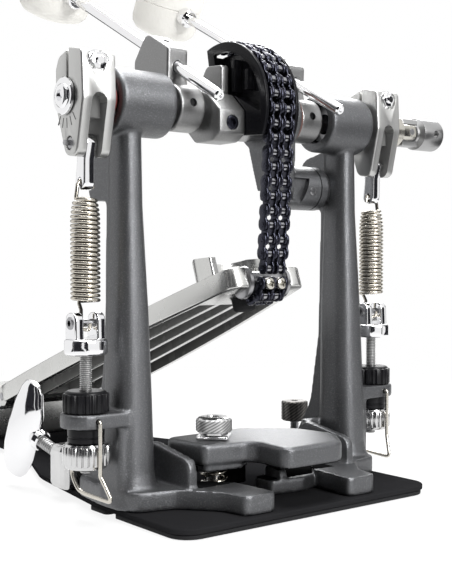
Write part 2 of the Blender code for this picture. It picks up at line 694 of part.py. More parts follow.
def plate_outline(pins):
    """A row of side plates along the pins: full round each pin and waisted half way to the next."""
    tip = LINK_HALF_HEIGHT
    upper = []
    lower = []
    for k, pin in enumerate(pins):
        before = pins[max(k - 1, 0)]
        after = pins[min(k + 1, len(pins) - 1)]
        along = (after - before).normalized()
        across = Vector((-along.y, along.x))
        upper.append(pin + across * tip)
        lower.append(pin - across * tip)
        if k == 0:
            start = [pin - along * tip - across * tip / 2, pin - along * tip + across * tip / 2]
        if k == len(pins) - 1:
            end = [pin + along * tip + across * tip / 2, pin + along * tip - across * tip / 2]
            continue
        middle = (pin + pins[k + 1]) / 2
        step = (pins[k + 1] - pin).normalized()
        waist = Vector((-step.y, step.x)) * tip * 0.68
        upper.append(middle + waist)
        lower.append(middle - waist)
    return start + upper + end + list(reversed(lower))


def chain_piece(name, pins, origin, parent, owns_pin=False, has_eye=False):
    """A stretch of double roller chain as one body.

    A body that carries the next one has inner blocks with an eye at its first pin, and one
    that hangs from another owns the thinner pin at its far end.
    """
    thick = OUTER_PLATE
    edge = CHAIN_HALF - thick
    near = thick / 2 + GAP
    far = edge - GAP
    plates = bmesh.new()
    bars = bmesh.new()
    row = pins[1:] if has_eye else pins
    for low in (-CHAIN_HALF, -thick / 2, edge):
        merge(plates, prism("X", plate_outline(row), CHAIN_X + low, CHAIN_X + low + thick))
    if has_eye:
        for low, high in ((-far, -near), (near, far)):
            merge(plates, prism("X", plate_outline(pins[:2]), CHAIN_X + low, CHAIN_X + high))
    buried = CHAIN_HALF - thick / 2
    for pin in row:
        radius = CHAIN_PIN_RADIUS if owns_pin and pin is row[-1] else ROLLER_RADIUS
        merge(bars, rod("X", radius, CHAIN_X - buried, CHAIN_X + buried, pin, 6))
    thing = add(name, plates, "chain", origin, parent)
    join(thing, bars)
    if has_eye:
        eye = rod("X", CHAIN_PIN_RADIUS + GAP, CHAIN_X - 2 * CHAIN_HALF, CHAIN_X + 2 * CHAIN_HALF, pins[0], 6)
        cut(thing, eye)
    return thing


def merge(into, extra):
    """Add one mesh's faces to another."""
    mesh = bpy.data.meshes.new("passing")
    extra.to_mesh(mesh)
    extra.free()
    into.from_mesh(mesh)
    bpy.data.meshes.remove(mesh)


def make_chain():
    pins, run = chain_path()
    joints = [run + BODY_LINKS * k for k in range(4)]
    spots = [Vector((CHAIN_X, pins[j].x, pins[j].y)) for j in joints]
    pivot("link_1_pivot", spots[3], "main_pivot")
    pivot("link_2_pivot", spots[2], "link_1_pivot")
    pivot("link_3_pivot", spots[1], "link_2_pivot")
    pivot("run_pivot", spots[0], "link_3_pivot")
    wrap = pins[joints[3]:]
    chain_piece("chain_wrap", wrap, (0, 0, AXLE_HEIGHT), "main_pivot", has_eye=True)
    for number, start in ((1, 2), (2, 1), (3, 0)):
        piece = pins[joints[start]:joints[start + 1] + 1]
        chain_piece(f"chain_link_{number}", piece, spots[start + 1],
                    f"link_{number}_pivot", owns_pin=True, has_eye=True)
    chain_piece("chain_run", pins[:joints[0] + 1], spots[0], "run_pivot", owns_pin=True)
    print("chain joints", [[round(c / MM, 3) for c in s] for s in spots])


def hook(level, coil_end, sign):
    """Wire from a coil's end to a bar that crosses under or through the piece it holds."""
    reach = 4.6 * MM
    centre = Vector((SPRING_X, SPRING_Y, 0))
    across = Vector((coil_end.x - SPRING_X, coil_end.y - SPRING_Y, 0)).normalized()
    places = [(COIL_RADIUS * 0.96, coil_end.z + sign * 1.6 * MM), (reach, coil_end.z + sign * 3.4 * MM),
              (reach, level - sign * 1.6 * MM), (reach - 1.4 * MM, level), (1.4 * MM - reach, level),
              (-reach, level - sign * 1.6 * MM), (-reach, level - sign * 3.2 * MM)]
    return [centre + across * out + Vector((0, 0, height)) for out, height in places]


def make_spring(name, side):
    eye = AXLE_HEIGHT - LINK_EYE_DROP
    coil_low = CLEVIS_PIN_HEIGHT + COIL_RISE
    steps = round(COIL_TURNS * CURL_POINTS)
    pitch = (eye - COIL_DROP - coil_low) / steps
    coil = []
    for k in range(steps + 1):
        turn = math.pi / 2 + 2 * math.pi * k / CURL_POINTS
        coil.append(Vector((SPRING_X + COIL_RADIUS * math.cos(turn), SPRING_Y + COIL_RADIUS * math.sin(turn),
                            coil_low + pitch * k)))
    low_bar = CLEVIS_PIN_HEIGHT - 2 * MM - WIRE_RADIUS - GAP
    below = list(reversed(hook(low_bar, coil[0], -1)))
    above = hook(eye, coil[-1], 1)
    points = below + coil + above
    gap = least_gap(points, WIRE_RADIUS, CURL_POINTS - 2)
    print(name, "least gap between curls mm", round(gap / MM, 3))
    points = [Vector((side * p.x, p.y, p.z)) for p in points]
    place = (side * SPRING_X, SPRING_Y, coil_low)
    wire(f"{name}_spring", points, WIRE_RADIUS, "nickel", place, f"{name}_rod_pivot")


def make_tension(name, side, parent):
    centre = (side * SPRING_X, SPRING_Y)
    pivot(f"{name}_rod_pivot", (*centre, CLEVIS_PIN_HEIGHT))
    eye = AXLE_HEIGHT - LINK_EYE_DROP
    hang = AXLE_HEIGHT - LINK_PIVOT_DROP
    link_half = (FORK_WIDTH - 2 * GAP) / 2 - 1 * MM
    axis = Vector((LINK_PIVOT_Y, hang))
    foot = Vector((SPRING_Y, eye))
    upper = [axis + Vector((5.4 * MM * math.cos(t), 5.4 * MM * math.sin(t)))
             for t in [math.pi * k / 6 for k in range(7)]]
    lower = [foot + Vector((4.2 * MM * math.cos(t), 4.2 * MM * math.sin(t)))
             for t in [math.pi + math.pi * k / 6 for k in range(7)]]
    body = prism("X", upper + lower, SPRING_X - link_half, SPRING_X + link_half)
    place = (side * SPRING_X, LINK_PIVOT_Y, hang)
    pivot(f"{name}_link_pivot", place, parent)
    link = add(f"{name}_spring_link", mirrored(body, side), "chrome", place, f"{name}_link_pivot")
    for radius, spot in ((PIN_RADIUS + BORE_PLAY, axis), (WIRE_RADIUS + 1 * MM, foot)):
        cut(link, mirrored(rod("X", radius, SPRING_X - 20 * MM, SPRING_X + 20 * MM, spot), side))
    make_spring(name, side)
    make_clevis(name, centre)
    make_tension_nuts(name, side, centre)


def make_clevis(name, centre):
    low = CLEVIS_PIN_HEIGHT - 16.5 * MM
    collar_top = CLEVIS_PIN_HEIGHT - 8 * MM
    collar = CLEVIS_RADIUS
    body = turned("Z", [(TENSION_LOW, TENSION_RADIUS - 0.6 * MM), (TENSION_LOW + 0.6 * MM, TENSION_RADIUS),
                        (low, TENSION_RADIUS), (low, collar - 1.5 * MM), (low + 1.5 * MM, collar),
                        (collar_top - 1 * MM, collar), (collar_top, collar - 1 * MM)], centre, 12)
    clevis = add(f"{name}_clevis", body, "chrome", (*centre, CLEVIS_PIN_HEIGHT), f"{name}_rod_pivot")
    root = collar_top - 2 * MM
    tip = CLEVIS_PIN_HEIGHT + 5.5 * MM
    ear = rounded([(SPRING_Y - 5.5 * MM, root, 0), (SPRING_Y + 5.5 * MM, root, 0),
                   (SPRING_Y + 5 * MM, tip, 4 * MM), (SPRING_Y - 5 * MM, tip, 4 * MM)])
    near, far = CLEVIS_RADIUS - 7.6 * MM, CLEVIS_RADIUS - 2.6 * MM
    for low, high in ((-far, -near), (near, far)):
        join(clevis, prism("X", ear, centre[0] + low, centre[0] + high))
    pin_end = far - 1 * MM
    pin = rod("X", 2 * MM, centre[0] - pin_end, centre[0] + pin_end, (SPRING_Y, CLEVIS_PIN_HEIGHT), 10)
    join(clevis, pin)


def make_tension_nuts(name, side, centre):
    bore = TENSION_RADIUS + BORE_PLAY
    low = ARM_HIGH + GAP
    nut = prism("Z", lobed(12 * MM, 11.2 * MM, 10), low, low + 11 * MM, centre)
    nut = add(f"{name}_tension_nut", nut, "black", (*centre, low))
    cut(nut, rod("Z", bore, low - 5 * MM, low + 20 * MM, centre, 12))
    bush_low = ARM_LOW - GAP - 7.7 * MM
    bush = ring("Z", 9.6 * MM, bore, bush_low, ARM_LOW - GAP, centre, 12)
    add(f"{name}_tension_bush", bush, "black", (*centre, bush_low))
    lock_high = bush_low - GAP
    lock_low = lock_high - 12.7 * MM
    rim = lobed(11.4 * MM, 10.6 * MM, 8)
    grip = lobed(12.4 * MM, 11.2 * MM, 8)
    lock = stepped("Z", [(lock_low, rim), (lock_low + 1 * MM, grip), (lock_high - 1 * MM, grip),
                         (lock_high, rim)], centre)
    lock = add(f"{name}_lock_nut", lock, "chrome", (*centre, lock_low))
    cut(lock, rod("Z", bore, lock_low - 5 * MM, lock_low + 20 * MM, centre, 12))
    height = (ARM_LOW + ARM_HIGH) / 2
    hang = SPRING_X
    front, back = -15.8 * MM, 13 * MM
    inward = hang - 3 * MM
    rest = [(hang, front + 4.4 * MM, height), (hang, front + 1 * MM, height),
            (hang, front, height - 1.4 * MM), (hang, front, 26 * MM),
            (inward + 1 * MM, front - 2.5 * MM, 21 * MM), (inward, front - 5 * MM, 15 * MM),
            (inward, front - 1 * MM, 13.4 * MM), (inward + 2 * MM, back - 6 * MM, 14.5 * MM),
            (hang, back - 1 * MM, 22 * MM), (hang, back, 26 * MM), (hang, back, height - 1.4 * MM),
            (hang, back - 1 * MM, height), (hang, back - 4.4 * MM, height)]
    points = [Vector((side * x, y, z)) for x, y, z in rest]
    wire(f"{name}_bail", points, 1.1 * MM, "nickel", (side * hang, 0, height))


def make_coupling():
    origin = (0, 0, AXLE_HEIGHT)
    end = CROSS_X - YOKE_REACH
    prong_end = CROSS_X + 4.4 * MM
    profile = [(YOKE_START, 8.6 * MM), (YOKE_START + 1 * MM, 9.7 * MM), (end, 9.7 * MM)]
    collar = turned("X", profile, (0, AXLE_HEIGHT))
    yoke = add("ujoint_yoke", collar, "alloy", origin, "slave_pivot")
    for sign in (-1, 1):
        inner, outer = sign * PRONG_INNER, sign * PRONG_OUTER
        section = [(inner, -5 * MM), (outer, -3.6 * MM), (outer, 3.6 * MM), (inner, 5 * MM)]
        join(yoke, prism("X", section, end - 2 * MM, prong_end, (0, AXLE_HEIGHT)))
    pin = 2.4 * MM
    cut(yoke, rod("Y", pin + GAP, -20 * MM, 20 * MM, (CROSS_X, AXLE_HEIGHT), 10))
    cut(yoke, axle_bore(YOKE_START - 5 * MM, YOKE_START + YOKE_DEPTH + GAP))
    pivot("cross_pivot", (CROSS_X, 0, AXLE_HEIGHT), "slave_pivot")
    spider = rod("Y", pin, -PRONG_OUTER, PRONG_OUTER, (CROSS_X, AXLE_HEIGHT), 10)
    spider = add("ujoint_cross", spider, "steel", (CROSS_X, 0, AXLE_HEIGHT), "cross_pivot")
    join(spider, rod("Z", pin, AXLE_HEIGHT - PRONG_OUTER, AXLE_HEIGHT + PRONG_OUTER, (CROSS_X, 0), 10))
    core = 3.6 * MM
    cube = [(-core, -core), (core, -core), (core, core), (-core, core)]
    join(spider, prism("X", cube, CROSS_X - core, CROSS_X + core, (0, AXLE_HEIGHT)))
    pivot("socket_pivot", (CROSS_X, 0, AXLE_HEIGHT), "cross_pivot")
    start = CROSS_X + 8 * MM
    profile = [(start, 7 * MM), (start + 2 * MM, 7 * MM), (start + 3.5 * MM, SOCKET_RADIUS),
               (SOCKET_END - 1 * MM, SOCKET_RADIUS), (SOCKET_END, SOCKET_RADIUS - 1 * MM)]
    body = turned("X", profile, (0, AXLE_HEIGHT))
    socket = add("ujoint_socket", body, "alloy", (CROSS_X, 0, AXLE_HEIGHT), "socket_pivot")
    for sign in (-1, 1):
        inner, outer = sign * PRONG_INNER, sign * PRONG_OUTER
        section = [(-4.6 * MM, inner), (-3.4 * MM, outer), (3.4 * MM, outer), (4.6 * MM, inner)]
        join(socket, prism("X", section, CROSS_X - 4 * MM, start + 1.5 * MM, (0, AXLE_HEIGHT)))
    cut(socket, rod("Z", pin + GAP, AXLE_HEIGHT - 20 * MM, AXLE_HEIGHT + 20 * MM, (CROSS_X, 0), 10))
    drive = prism("X", circle(6 * MM, 6), SOCKET_END - SOCKET_DEPTH, SOCKET_END + 5 * MM, (0, AXLE_HEIGHT))
    cut(socket, drive)


def board_section(half, along, shift):
    """Cross section of the footboard: a skin with two side rails and three ribs under it."""
    skin = BOARD_TOP - BOARD_SKIN
    rail = 3.5 * MM
    rib = 2.2 * MM
    points = [(-half, -RAIL_DROP), (-half + rail, -RAIL_DROP), (-half + rail, skin)]
    for share in (-0.46, 0.0, 0.46):
        middle = share * half
        points += [(middle - rib, skin), (middle - rib, -RIB_DROP), (middle + rib, -RIB_DROP)]
        points.append((middle + rib, skin))
    edge = BOARD_TOP - 1.2 * MM
    points += [(half - rail, skin), (half - rail, -RAIL_DROP), (half, -RAIL_DROP), (half, edge),
               (half - 1.2 * MM, BOARD_TOP), (1.2 * MM - half, BOARD_TOP), (-half, edge)]
    return [Vector((x + shift, HINGE_Y - along, HINGE_Z + z)) for x, z in points]


def make_footboard():
    origin = (0, HINGE_Y, HINGE_Z)
    pivot("board_pivot", origin, None, -BOARD_SLOPE)
    start = KNUCKLE_RADIUS + 3 * MM
    shares = (0.0, 0.4, 0.66, 0.85, 1.0)
    widths = [BOARD_HEEL_HALF + (BOARD_TOE_HALF - BOARD_HEEL_HALF) * s ** BOARD_FLARE for s in shares]
    rings = [board_section(w, start + (BOARD_LENGTH - start) * s, CHAIN_X * s)
             for w, s in zip(widths, shares)]
    board = add("footboard", loft(rings), "alloy", origin, "board_pivot", 30)
    knuckle = rod("X", KNUCKLE_RADIUS, GAP - KNUCKLE_HALF, KNUCKLE_HALF - GAP, (HINGE_Y, HINGE_Z), 14)
    root = HINGE_Y - start - 4 * MM
    lug = [(HINGE_Y, HINGE_Z + KNUCKLE_RADIUS - 0.6 * MM), (HINGE_Y, HINGE_Z - 3 * MM),
           (root, HINGE_Z - 3 * MM), (root, HINGE_Z + BOARD_TOP - 0.6 * MM)]
    neck = prism("X", lug, 2 * GAP - KNUCKLE_HALF, KNUCKLE_HALF - 2 * GAP)
    hole = rod("X", HINGE_PIN_RADIUS + BORE_PLAY, -60 * MM, 60 * MM, (HINGE_Y, HINGE_Z), 12)
    toe = HINGE_Y - BOARD_LENGTH
    half = CLAMP_HALF + GAP
    notch = [(CHAIN_X - half, toe - 5 * MM), (CHAIN_X + half, toe - 5 * MM),
             (CHAIN_X + half, toe + NOTCH_DEPTH), (CHAIN_X - half, toe + NOTCH_DEPTH)]
    opening = prism("Z", notch, HINGE_Z - 40 * MM, HINGE_Z + 40 * MM)
    outer = BOARD_TOE_HALF - 0.6 * MM
    inner = half - 1 * MM
    tip, root = toe + 0.4 * MM, toe + NOTCH_DEPTH + 8 * MM
    prongs = []
    for sign in (-1, 1):
        near, far = CHAIN_X + sign * inner, CHAIN_X + sign * outer
        bar = prism("Z", [(near, tip), (far, tip), (far, root), (near, root)],
                    HINGE_Z - RAIL_DROP + 0.4 * MM, HINGE_Z + BOARD_TOP - 1 * MM)
        prongs.append(join(board, bar))
    for helper in (*prongs, join(board, knuckle), join(board, neck), cut(board, hole), cut(board, opening)):
        turn_about_hinge(helper)
    top = HINGE_Z + BOARD_TOP + GAP
    back = toe + NOTCH_DEPTH
    wide = 24 * MM
    wall = 5 * MM
    plate = rounded([(CHAIN_X - wide, back + 1 * MM, 1 * MM), (CHAIN_X + wide, back + 1 * MM, 1 * MM),
                     (CHAIN_X + wide, back + 30 * MM, 20 * MM), (CHAIN_X - wide, back + 30 * MM, 20 * MM)])
    stop = add("toe_stop", prism("Z", plate, top, top + TOE_STOP_HEIGHT), "alloy", origin, "board_pivot")
    reach = wide - wall
    inside = rounded([(CHAIN_X - reach, back - 4 * MM, 0), (CHAIN_X + reach, back - 4 * MM, 0),
                      (CHAIN_X + reach, back + 30 * MM - wall, 15 * MM),
                      (CHAIN_X - reach, back + 30 * MM - wall, 15 * MM)])
    turn_about_hinge(cut(stop, prism("Z", inside, top + 2.5 * MM, top + 2 * TOE_STOP_HEIGHT)))
    rubber = rounded([(-13 * MM, back + 3 * MM, 3 * MM), (9 * MM, back + 3 * MM, 3 * MM),
                      (9 * MM, back + 16 * MM, 3 * MM), (-13 * MM, back + 16 * MM, 3 * MM)])
    bumper_top = HINGE_Z - RIB_DROP - GAP
    pad = prism("Z", rubber, bumper_top - 8 * MM, bumper_top)
    add("board_bumper", pad, "rubber", origin, "board_pivot")


def turn_about_hinge(helper):
    place = Matrix.Translation((0, HINGE_Y, HINGE_Z))
    helper.matrix_world = place @ Matrix.Rotation(-BOARD_SLOPE, 4, "X") @ place.inverted()


def make_heel():
    low = PLATE_TOP + GAP
    high = HINGE_Z + 2 * MM
    front = HINGE_Y + KNUCKLE_RADIUS + 2 * MM
    back = PLATE_BACK - 3 * MM
    outline = rounded([(-46 * MM, front, 4 * MM), (46 * MM, front, 4 * MM), (42 * MM, back, 16 * MM),
                       (-42 * MM, back, 16 * MM)])
    heel = add("heel_plate", prism("Z", outline, low, high), "alloy")
    wall = 4 * MM
    inside = rounded([(-42 * MM, front + wall, 3 * MM), (42 * MM, front + wall, 3 * MM),
                      (38 * MM, back - wall, 12 * MM), (-38 * MM, back - wall, 12 * MM)])
    cut(heel, prism("Z", inside, low - 9 * MM, high - wall))
    for sign in (-1, 1):
        ends = sorted((sign * KNUCKLE_HALF, sign * 44 * MM))
        join(heel, rod("X", KNUCKLE_RADIUS, ends[0], ends[1], (HINGE_Y, HINGE_Z), 14))
        lug = [(HINGE_Y, HINGE_Z - KNUCKLE_RADIUS + 0.8 * MM), (front + 3 * MM, HINGE_Z - 12 * MM),
               (front + 3 * MM, high - 2.5 * MM), (HINGE_Y, HINGE_Z + 1 * MM)]
        join(heel, prism("X", lug, ends[0] + GAP, ends[1] - GAP))
    cut(heel, rod("X", HINGE_PIN_RADIUS + BORE_PLAY, -60 * MM, 60 * MM, (HINGE_Y, HINGE_Z), 12))
    pin = rod("X", HINGE_PIN_RADIUS, -44.5 * MM, 44.5 * MM, (HINGE_Y, HINGE_Z), 12)
    add("heel_hinge_pin", pin, "steel", (0, HINGE_Y, HINGE_Z))


def make_chain_end():
    """Cross boss on the board's toe, and the chain's tail fixed round it."""
    origin = (0, HINGE_Y, HINGE_Z)
    boss = 6 * MM
    wrap = boss + LINK_HALF_HEIGHT + GAP
    foot = chain_foot()
    centre = Vector((foot.x + wrap, foot.y - CHAIN_PITCH))
    bar = turned("X", [(CHAIN_X - CLAMP_HALF, boss), (CHAIN_X + CLAMP_HALF, boss)], centre, 18)
    turned_back(add("chain_clamp", bar, "chrome", origin, "board_pivot"))
    step = 2 * math.asin(CHAIN_PITCH / 2 / wrap)
    tail = [centre + Vector((-wrap * math.cos(step * k), -wrap * math.sin(step * k))) for k in range(3)]
    turned_back(chain_piece("chain_tail", tail, origin, "board_pivot"))


def turned_back(thing):
    """Undo the board's slope for a piece whose points are already where it rests."""
    thing.rotation_euler.x = BOARD_SLOPE


def make_clamp():
    jaw_outline = rounded(scaled([(-52, 6, 7), (-49, -29, 4), (-19, -33, 8), (-21, -63, 6), (20, -63, 8),
                                  (36, -42, 12), (30, -14, 16), (5, 7, 10)]))
    pivot("jaw_pivot", (0, 1 * MM, PLATE_TOP + 1.5 * MM))
    axis = PIVOTS["jaw_pivot"]
    body = soften(prism("Z", jaw_outline, JAW_LOW, JAW_HIGH), 2.4 * MM)
    jaw = add("hoop_jaw", body, "cast", axis, "jaw_pivot")
    leg = rounded([(-4 * MM, PLATE_TOP + 2 * MM, 1 * MM), (4 * MM, PLATE_TOP + 2 * MM, 1 * MM),
                   (4 * MM, JAW_LOW + 4 * MM, 0), (-4 * MM, JAW_LOW + 4 * MM, 0)], 2)
    join(jaw, prism("X", leg, -24 * MM, 0))
    skirt = rounded(scaled([(-47, -28.2, 3), (-47, -23.2, 0), (-21, -23.2, 0), (-21, -31.2, 5)]), 2)
    join(jaw, prism("Z", skirt, JAW_LOW - 3 * MM, JAW_LOW + 4 * MM))
    for low in (-48, -20):
        lug = rounded(scaled([(low, -23, 1), (low + 6, -23, 1), (low + 6, -13, 1), (low, -13, 1)]), 2)
        join(jaw, prism("Z", lug, JAW_LOW - 4 * MM, JAW_LOW + 2 * MM))
    cut(jaw, rod("Z", BOLT_RADIUS + 0.6 * MM, JAW_LOW - 9 * MM, JAW_HIGH + 9 * MM, (BOLT_X, BOLT_Y), 14))
    washer_low = JAW_HIGH + GAP
    square = rounded([(BOLT_X + a * 12.5 * MM, BOLT_Y + b * 12.5 * MM, 1 * MM)
                      for a, b in ((1, 0), (0, 1), (-1, 0), (0, -1))], 2)
    washer_high = washer_low + WASHER_THICK
    washer = add("clamp_washer", prism("Z", square, washer_low, washer_high), "chrome", axis, "jaw_pivot")
    hole = rod("Z", BOLT_RADIUS + BORE_PLAY, washer_low - 5 * MM, washer_high + 5 * MM, (BOLT_X, BOLT_Y), 14)
    cut(washer, hole)
    low = washer_high + GAP
    place = (BOLT_X, BOLT_Y, JAW_HIGH)
    pivot("bolt_pivot", place, "jaw_pivot")
    head = BOLT_HEAD_RADIUS
    top = low + BOLT_HEAD_HEIGHT
    shank = circle(BOLT_RADIUS, 20)
    flange = lobed(head - 2 * MM, head - 2.4 * MM, 10)
    knurl = lobed(head, head - 0.7 * MM, 10)
    edge = lobed(head - 1 * MM, head - 1.4 * MM, 10)
    bolt = stepped("Z", [(BOLT_END, shank), (low, shank), (low, flange), (low + 1.6 * MM, flange),
                         (low + 1.6 * MM, knurl), (top - 1 * MM, knurl), (top, edge)], (BOLT_X, BOLT_Y))
    bolt = add("clamp_bolt", bolt, "alloy", place, "bolt_pivot")
    cut(bolt, prism("Z", circle(3.6 * MM, 6), top - 5 * MM, top + 5 * MM, (BOLT_X, BOLT_Y)))
    make_clamp_spring()


def make_clamp_spring():
    radius = 6.6 * MM
    thick = 0.8 * MM
    turns = 3
    low = PLATE_TOP + GAP + thick
    rise = JAW_LOW - GAP - thick - low
    points = []
    for k in range(turns * 9 + 1):
        turn = 2 * math.pi * k / 9
        points.append(Vector((BOLT_X + radius * math.cos(turn), BOLT_Y + radius * math.sin(turn),
                              low + rise * k / (turns * 9))))
    print("clamp spring least gap mm", round(least_gap(points, thick, 7) / MM, 3))
    wire("clamp_spring", points, thick, "nickel", (BOLT_X, BOLT_Y, low))


def make_side_fittings():
    low = PLATE_TOP + GAP
    block = rounded(scaled([(-92, 46, 5), (-92, 64, 5), (-74, 64, 5), (-74, 46, 5)]))
    trunnion = add("trunnion_block", soften(prism("Z", block, low, 31 * MM), 2 * MM), "chrome")
    seat = Vector((-83 * MM, 60 * MM, 22 * MM))
    aim = Vector((-10, 40, 16)).normalized()
    turn = aim.to_track_quat("Z", "Y").to_matrix().to_4x4()
    frame = Matrix.Translation(seat) @ turn
    hole = rod("Z", 4 * MM, -30 * MM, 40 * MM, (0, 0), 12)
    cut(trunnion, hole).matrix_world = frame
    start = 2 * MM
    boss = start + 22 * MM
    shaft = turned("Z", [(start - 10 * MM, 3 * MM), (boss, 3 * MM), (boss, 6.5 * MM),
                         (boss + 3 * MM, 7.5 * MM), (boss + 18 * MM, 7 * MM), (boss + 20 * MM, 5.6 * MM)],
                   (0, 0), 14)
    screw = add("wing_screw", shaft, "chrome", (0, 0, 0))
    screw.matrix_world = frame
    wing = rounded(scaled([(-30, 24, 4), (-34, 42, 5), (-24, 47, 5), (0, 38, 6), (24, 47, 5), (34, 42, 5),
                           (30, 24, 4), (0, 27, 8)]))
    join(screw, prism("X", wing, -4.5 * MM, 4.5 * MM)).matrix_world = frame
    spot = (SPUR_X, SPUR_Y)
    shank = circle(SPUR_RADIUS, 14)
    rim = lobed(8 * MM, 7.5 * MM, 7)
    grip = lobed(8.8 * MM, 8.2 * MM, 7)
    spur = stepped("Z", [(low, circle(1 * MM, 14)), (low + 5 * MM, shank), (30 * MM, shank), (30 * MM, rim),
                         (31 * MM, grip), (42 * MM, grip), (43 * MM, rim)], spot)
    add("anchor_spur", spur, "steel", (*spot, low))


def build():
    pivot("main_pivot", (0, 0, AXLE_HEIGHT))
    pivot("slave_pivot", (0, 0, AXLE_HEIGHT))
    make_base()
    make_post("left_post", -1)
    make_cross_bar(make_post("right_post", 1))
    make_bearings()
    make_centre_arm()
    make_axles()
    for name, side in SIDES:
        parent = "main_pivot" if side < 0 else "slave_pivot"
        make_rocker(name, side, parent)
        make_hub(name, side, parent)
        make_tension(name, side, parent)
    make_cam()
    make_chain()
    make_coupling()
    make_footboard()
    make_chain_end()
    make_heel()
    make_clamp()
    make_side_fittings()


build()
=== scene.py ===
# %% [markdown]
# # A bass drum pedal, dressed for its portrait
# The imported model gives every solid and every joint. This lesson keeps that frame, and puts a finer
# piece over each solid: castings with soft corners, bent wire, a roller chain with all its plates.

# %% Load the frame
from math import asin, atan2, copysign, cos, degrees, pi, radians, sin, tan

import bmesh
import bpy
from mathutils import Matrix, Vector


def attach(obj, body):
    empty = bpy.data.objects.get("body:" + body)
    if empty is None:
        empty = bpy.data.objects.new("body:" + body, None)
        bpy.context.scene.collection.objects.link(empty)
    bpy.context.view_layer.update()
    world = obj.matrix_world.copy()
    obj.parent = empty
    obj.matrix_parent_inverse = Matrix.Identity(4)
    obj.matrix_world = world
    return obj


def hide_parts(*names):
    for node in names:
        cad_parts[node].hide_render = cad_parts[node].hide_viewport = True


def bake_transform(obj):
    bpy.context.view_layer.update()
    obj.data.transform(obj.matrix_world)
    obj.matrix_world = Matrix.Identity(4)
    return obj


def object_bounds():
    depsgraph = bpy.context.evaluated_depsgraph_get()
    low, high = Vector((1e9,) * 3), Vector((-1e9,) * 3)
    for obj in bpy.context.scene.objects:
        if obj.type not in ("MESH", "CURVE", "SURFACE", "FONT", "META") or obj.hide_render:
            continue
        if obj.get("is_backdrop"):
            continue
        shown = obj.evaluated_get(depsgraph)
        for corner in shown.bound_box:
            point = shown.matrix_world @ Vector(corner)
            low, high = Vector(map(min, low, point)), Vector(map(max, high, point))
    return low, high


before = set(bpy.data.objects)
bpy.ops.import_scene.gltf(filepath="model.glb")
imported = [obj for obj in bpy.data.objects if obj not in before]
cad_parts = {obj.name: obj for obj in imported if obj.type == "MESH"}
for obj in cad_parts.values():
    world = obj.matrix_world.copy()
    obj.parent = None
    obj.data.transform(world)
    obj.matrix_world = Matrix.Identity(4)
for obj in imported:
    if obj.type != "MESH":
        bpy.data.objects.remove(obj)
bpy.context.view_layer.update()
MM = 0.001

# %% [markdown]
# ## Camera
# The photograph was taken from the drum's side, a little to the left and just above the floor.
# A lens of about 64 mm on the long side of the picture gives the same convergence of the posts. Both
# were found by fitting known sizes, such as the pitch of the chain, to points of the photograph.

# %% Camera
LENS, SENSOR = 64.46, 36
CAMERA_PLACE = Vector((-380.36, -472.2, 136.03)) * MM
CAMERA_TURN = (radians(88.3), 0, radians(-37.99))

scene = bpy.context.scene
camera_data = bpy.data.cameras.new("camera")
camera_data.lens, camera_data.sensor_width = LENS, SENSOR
camera_data.clip_start = 0.01
camera = bpy.data.objects.new("camera", camera_data)
camera.location = CAMERA_PLACE
camera.rotation_euler = CAMERA_TURN
scene.collection.objects.link(camera)
scene.camera = camera
scene.view_settings.view_transform = "Standard"
print("camera at", [round(c, 3) for c in camera.location])

# %% [markdown]
# ## Floor and backdrop
# The picture has a white ground. Rays from the camera, and mirror rays, see plain white, while the
# floor still takes the pedal's shadow. A shader could be wired by hand, node by node; a small helper
# that makes a node together with its values keeps the wiring short enough to read.

# %% Helpers for nodes and meshes
def shader_nodes(owner):
    """The emptied nodes of a material or world."""
    owner.use_nodes = True
    owner.node_tree.nodes.clear()
    return owner.node_tree.nodes


def join(value, socket):
    """Give a socket a value, or link it to another node's output."""
    if isinstance(value, bpy.types.NodeSocket):
        socket.id_data.links.new(value, socket)
    else:
        socket.default_value = value


def add(nodes, kind, *values, **settings):
    """A new node. A setting is a property or a socket, with _ for a space; values fill sockets in order."""
    node = nodes.new("ShaderNode" + kind)
    for name, value in settings.items():
        socket = node.inputs.get(name.replace("_", " "))
        if socket is None:
            setattr(node, name, value)
        else:
            join(value, socket)
    for value, socket in zip(values, node.inputs):
        join(value, socket)
    return node


def seen_directly(nodes):
    """One where a ray comes from the camera, a mirror or glass, and zero elsewhere."""
    path = add(nodes, "LightPath").outputs
    first = add(nodes, "Math", path["Is Camera Ray"], path["Is Glossy Ray"], operation="MAXIMUM")
    both = add(nodes, "Math", first.outputs[0], path["Is Transmission Ray"], operation="MAXIMUM")
    return both.outputs[0]


def mixed(nodes, output, factor, first, second):
    """Mix two shaders by a factor, as the surface of the output."""
    mix = add(nodes, "MixShader", factor, first.outputs[0], second.outputs[0])
    add(nodes, output, mix.outputs[0])


def raw(name, bm):
    """An object with the mesh that was drawn."""
    mesh = bpy.data.meshes.new(name)
    bm.to_mesh(mesh)
    bm.free()
    thing = bpy.data.objects.new(name, mesh)
    scene.collection.objects.link(thing)
    return thing


# %% Floor and backdrop
WHITE = (1, 1, 1, 1)
AMBIENT = 0.3
FLOOR_HALF, FLOOR_Z = 3.0, -0.0004

world = bpy.data.worlds.new("studio")
scene.world = world
nodes = shader_nodes(world)
mixed(nodes, "OutputWorld", seen_directly(nodes), add(nodes, "Background", Color=WHITE, Strength=AMBIENT),
      add(nodes, "Background", Color=WHITE, Strength=1.0))

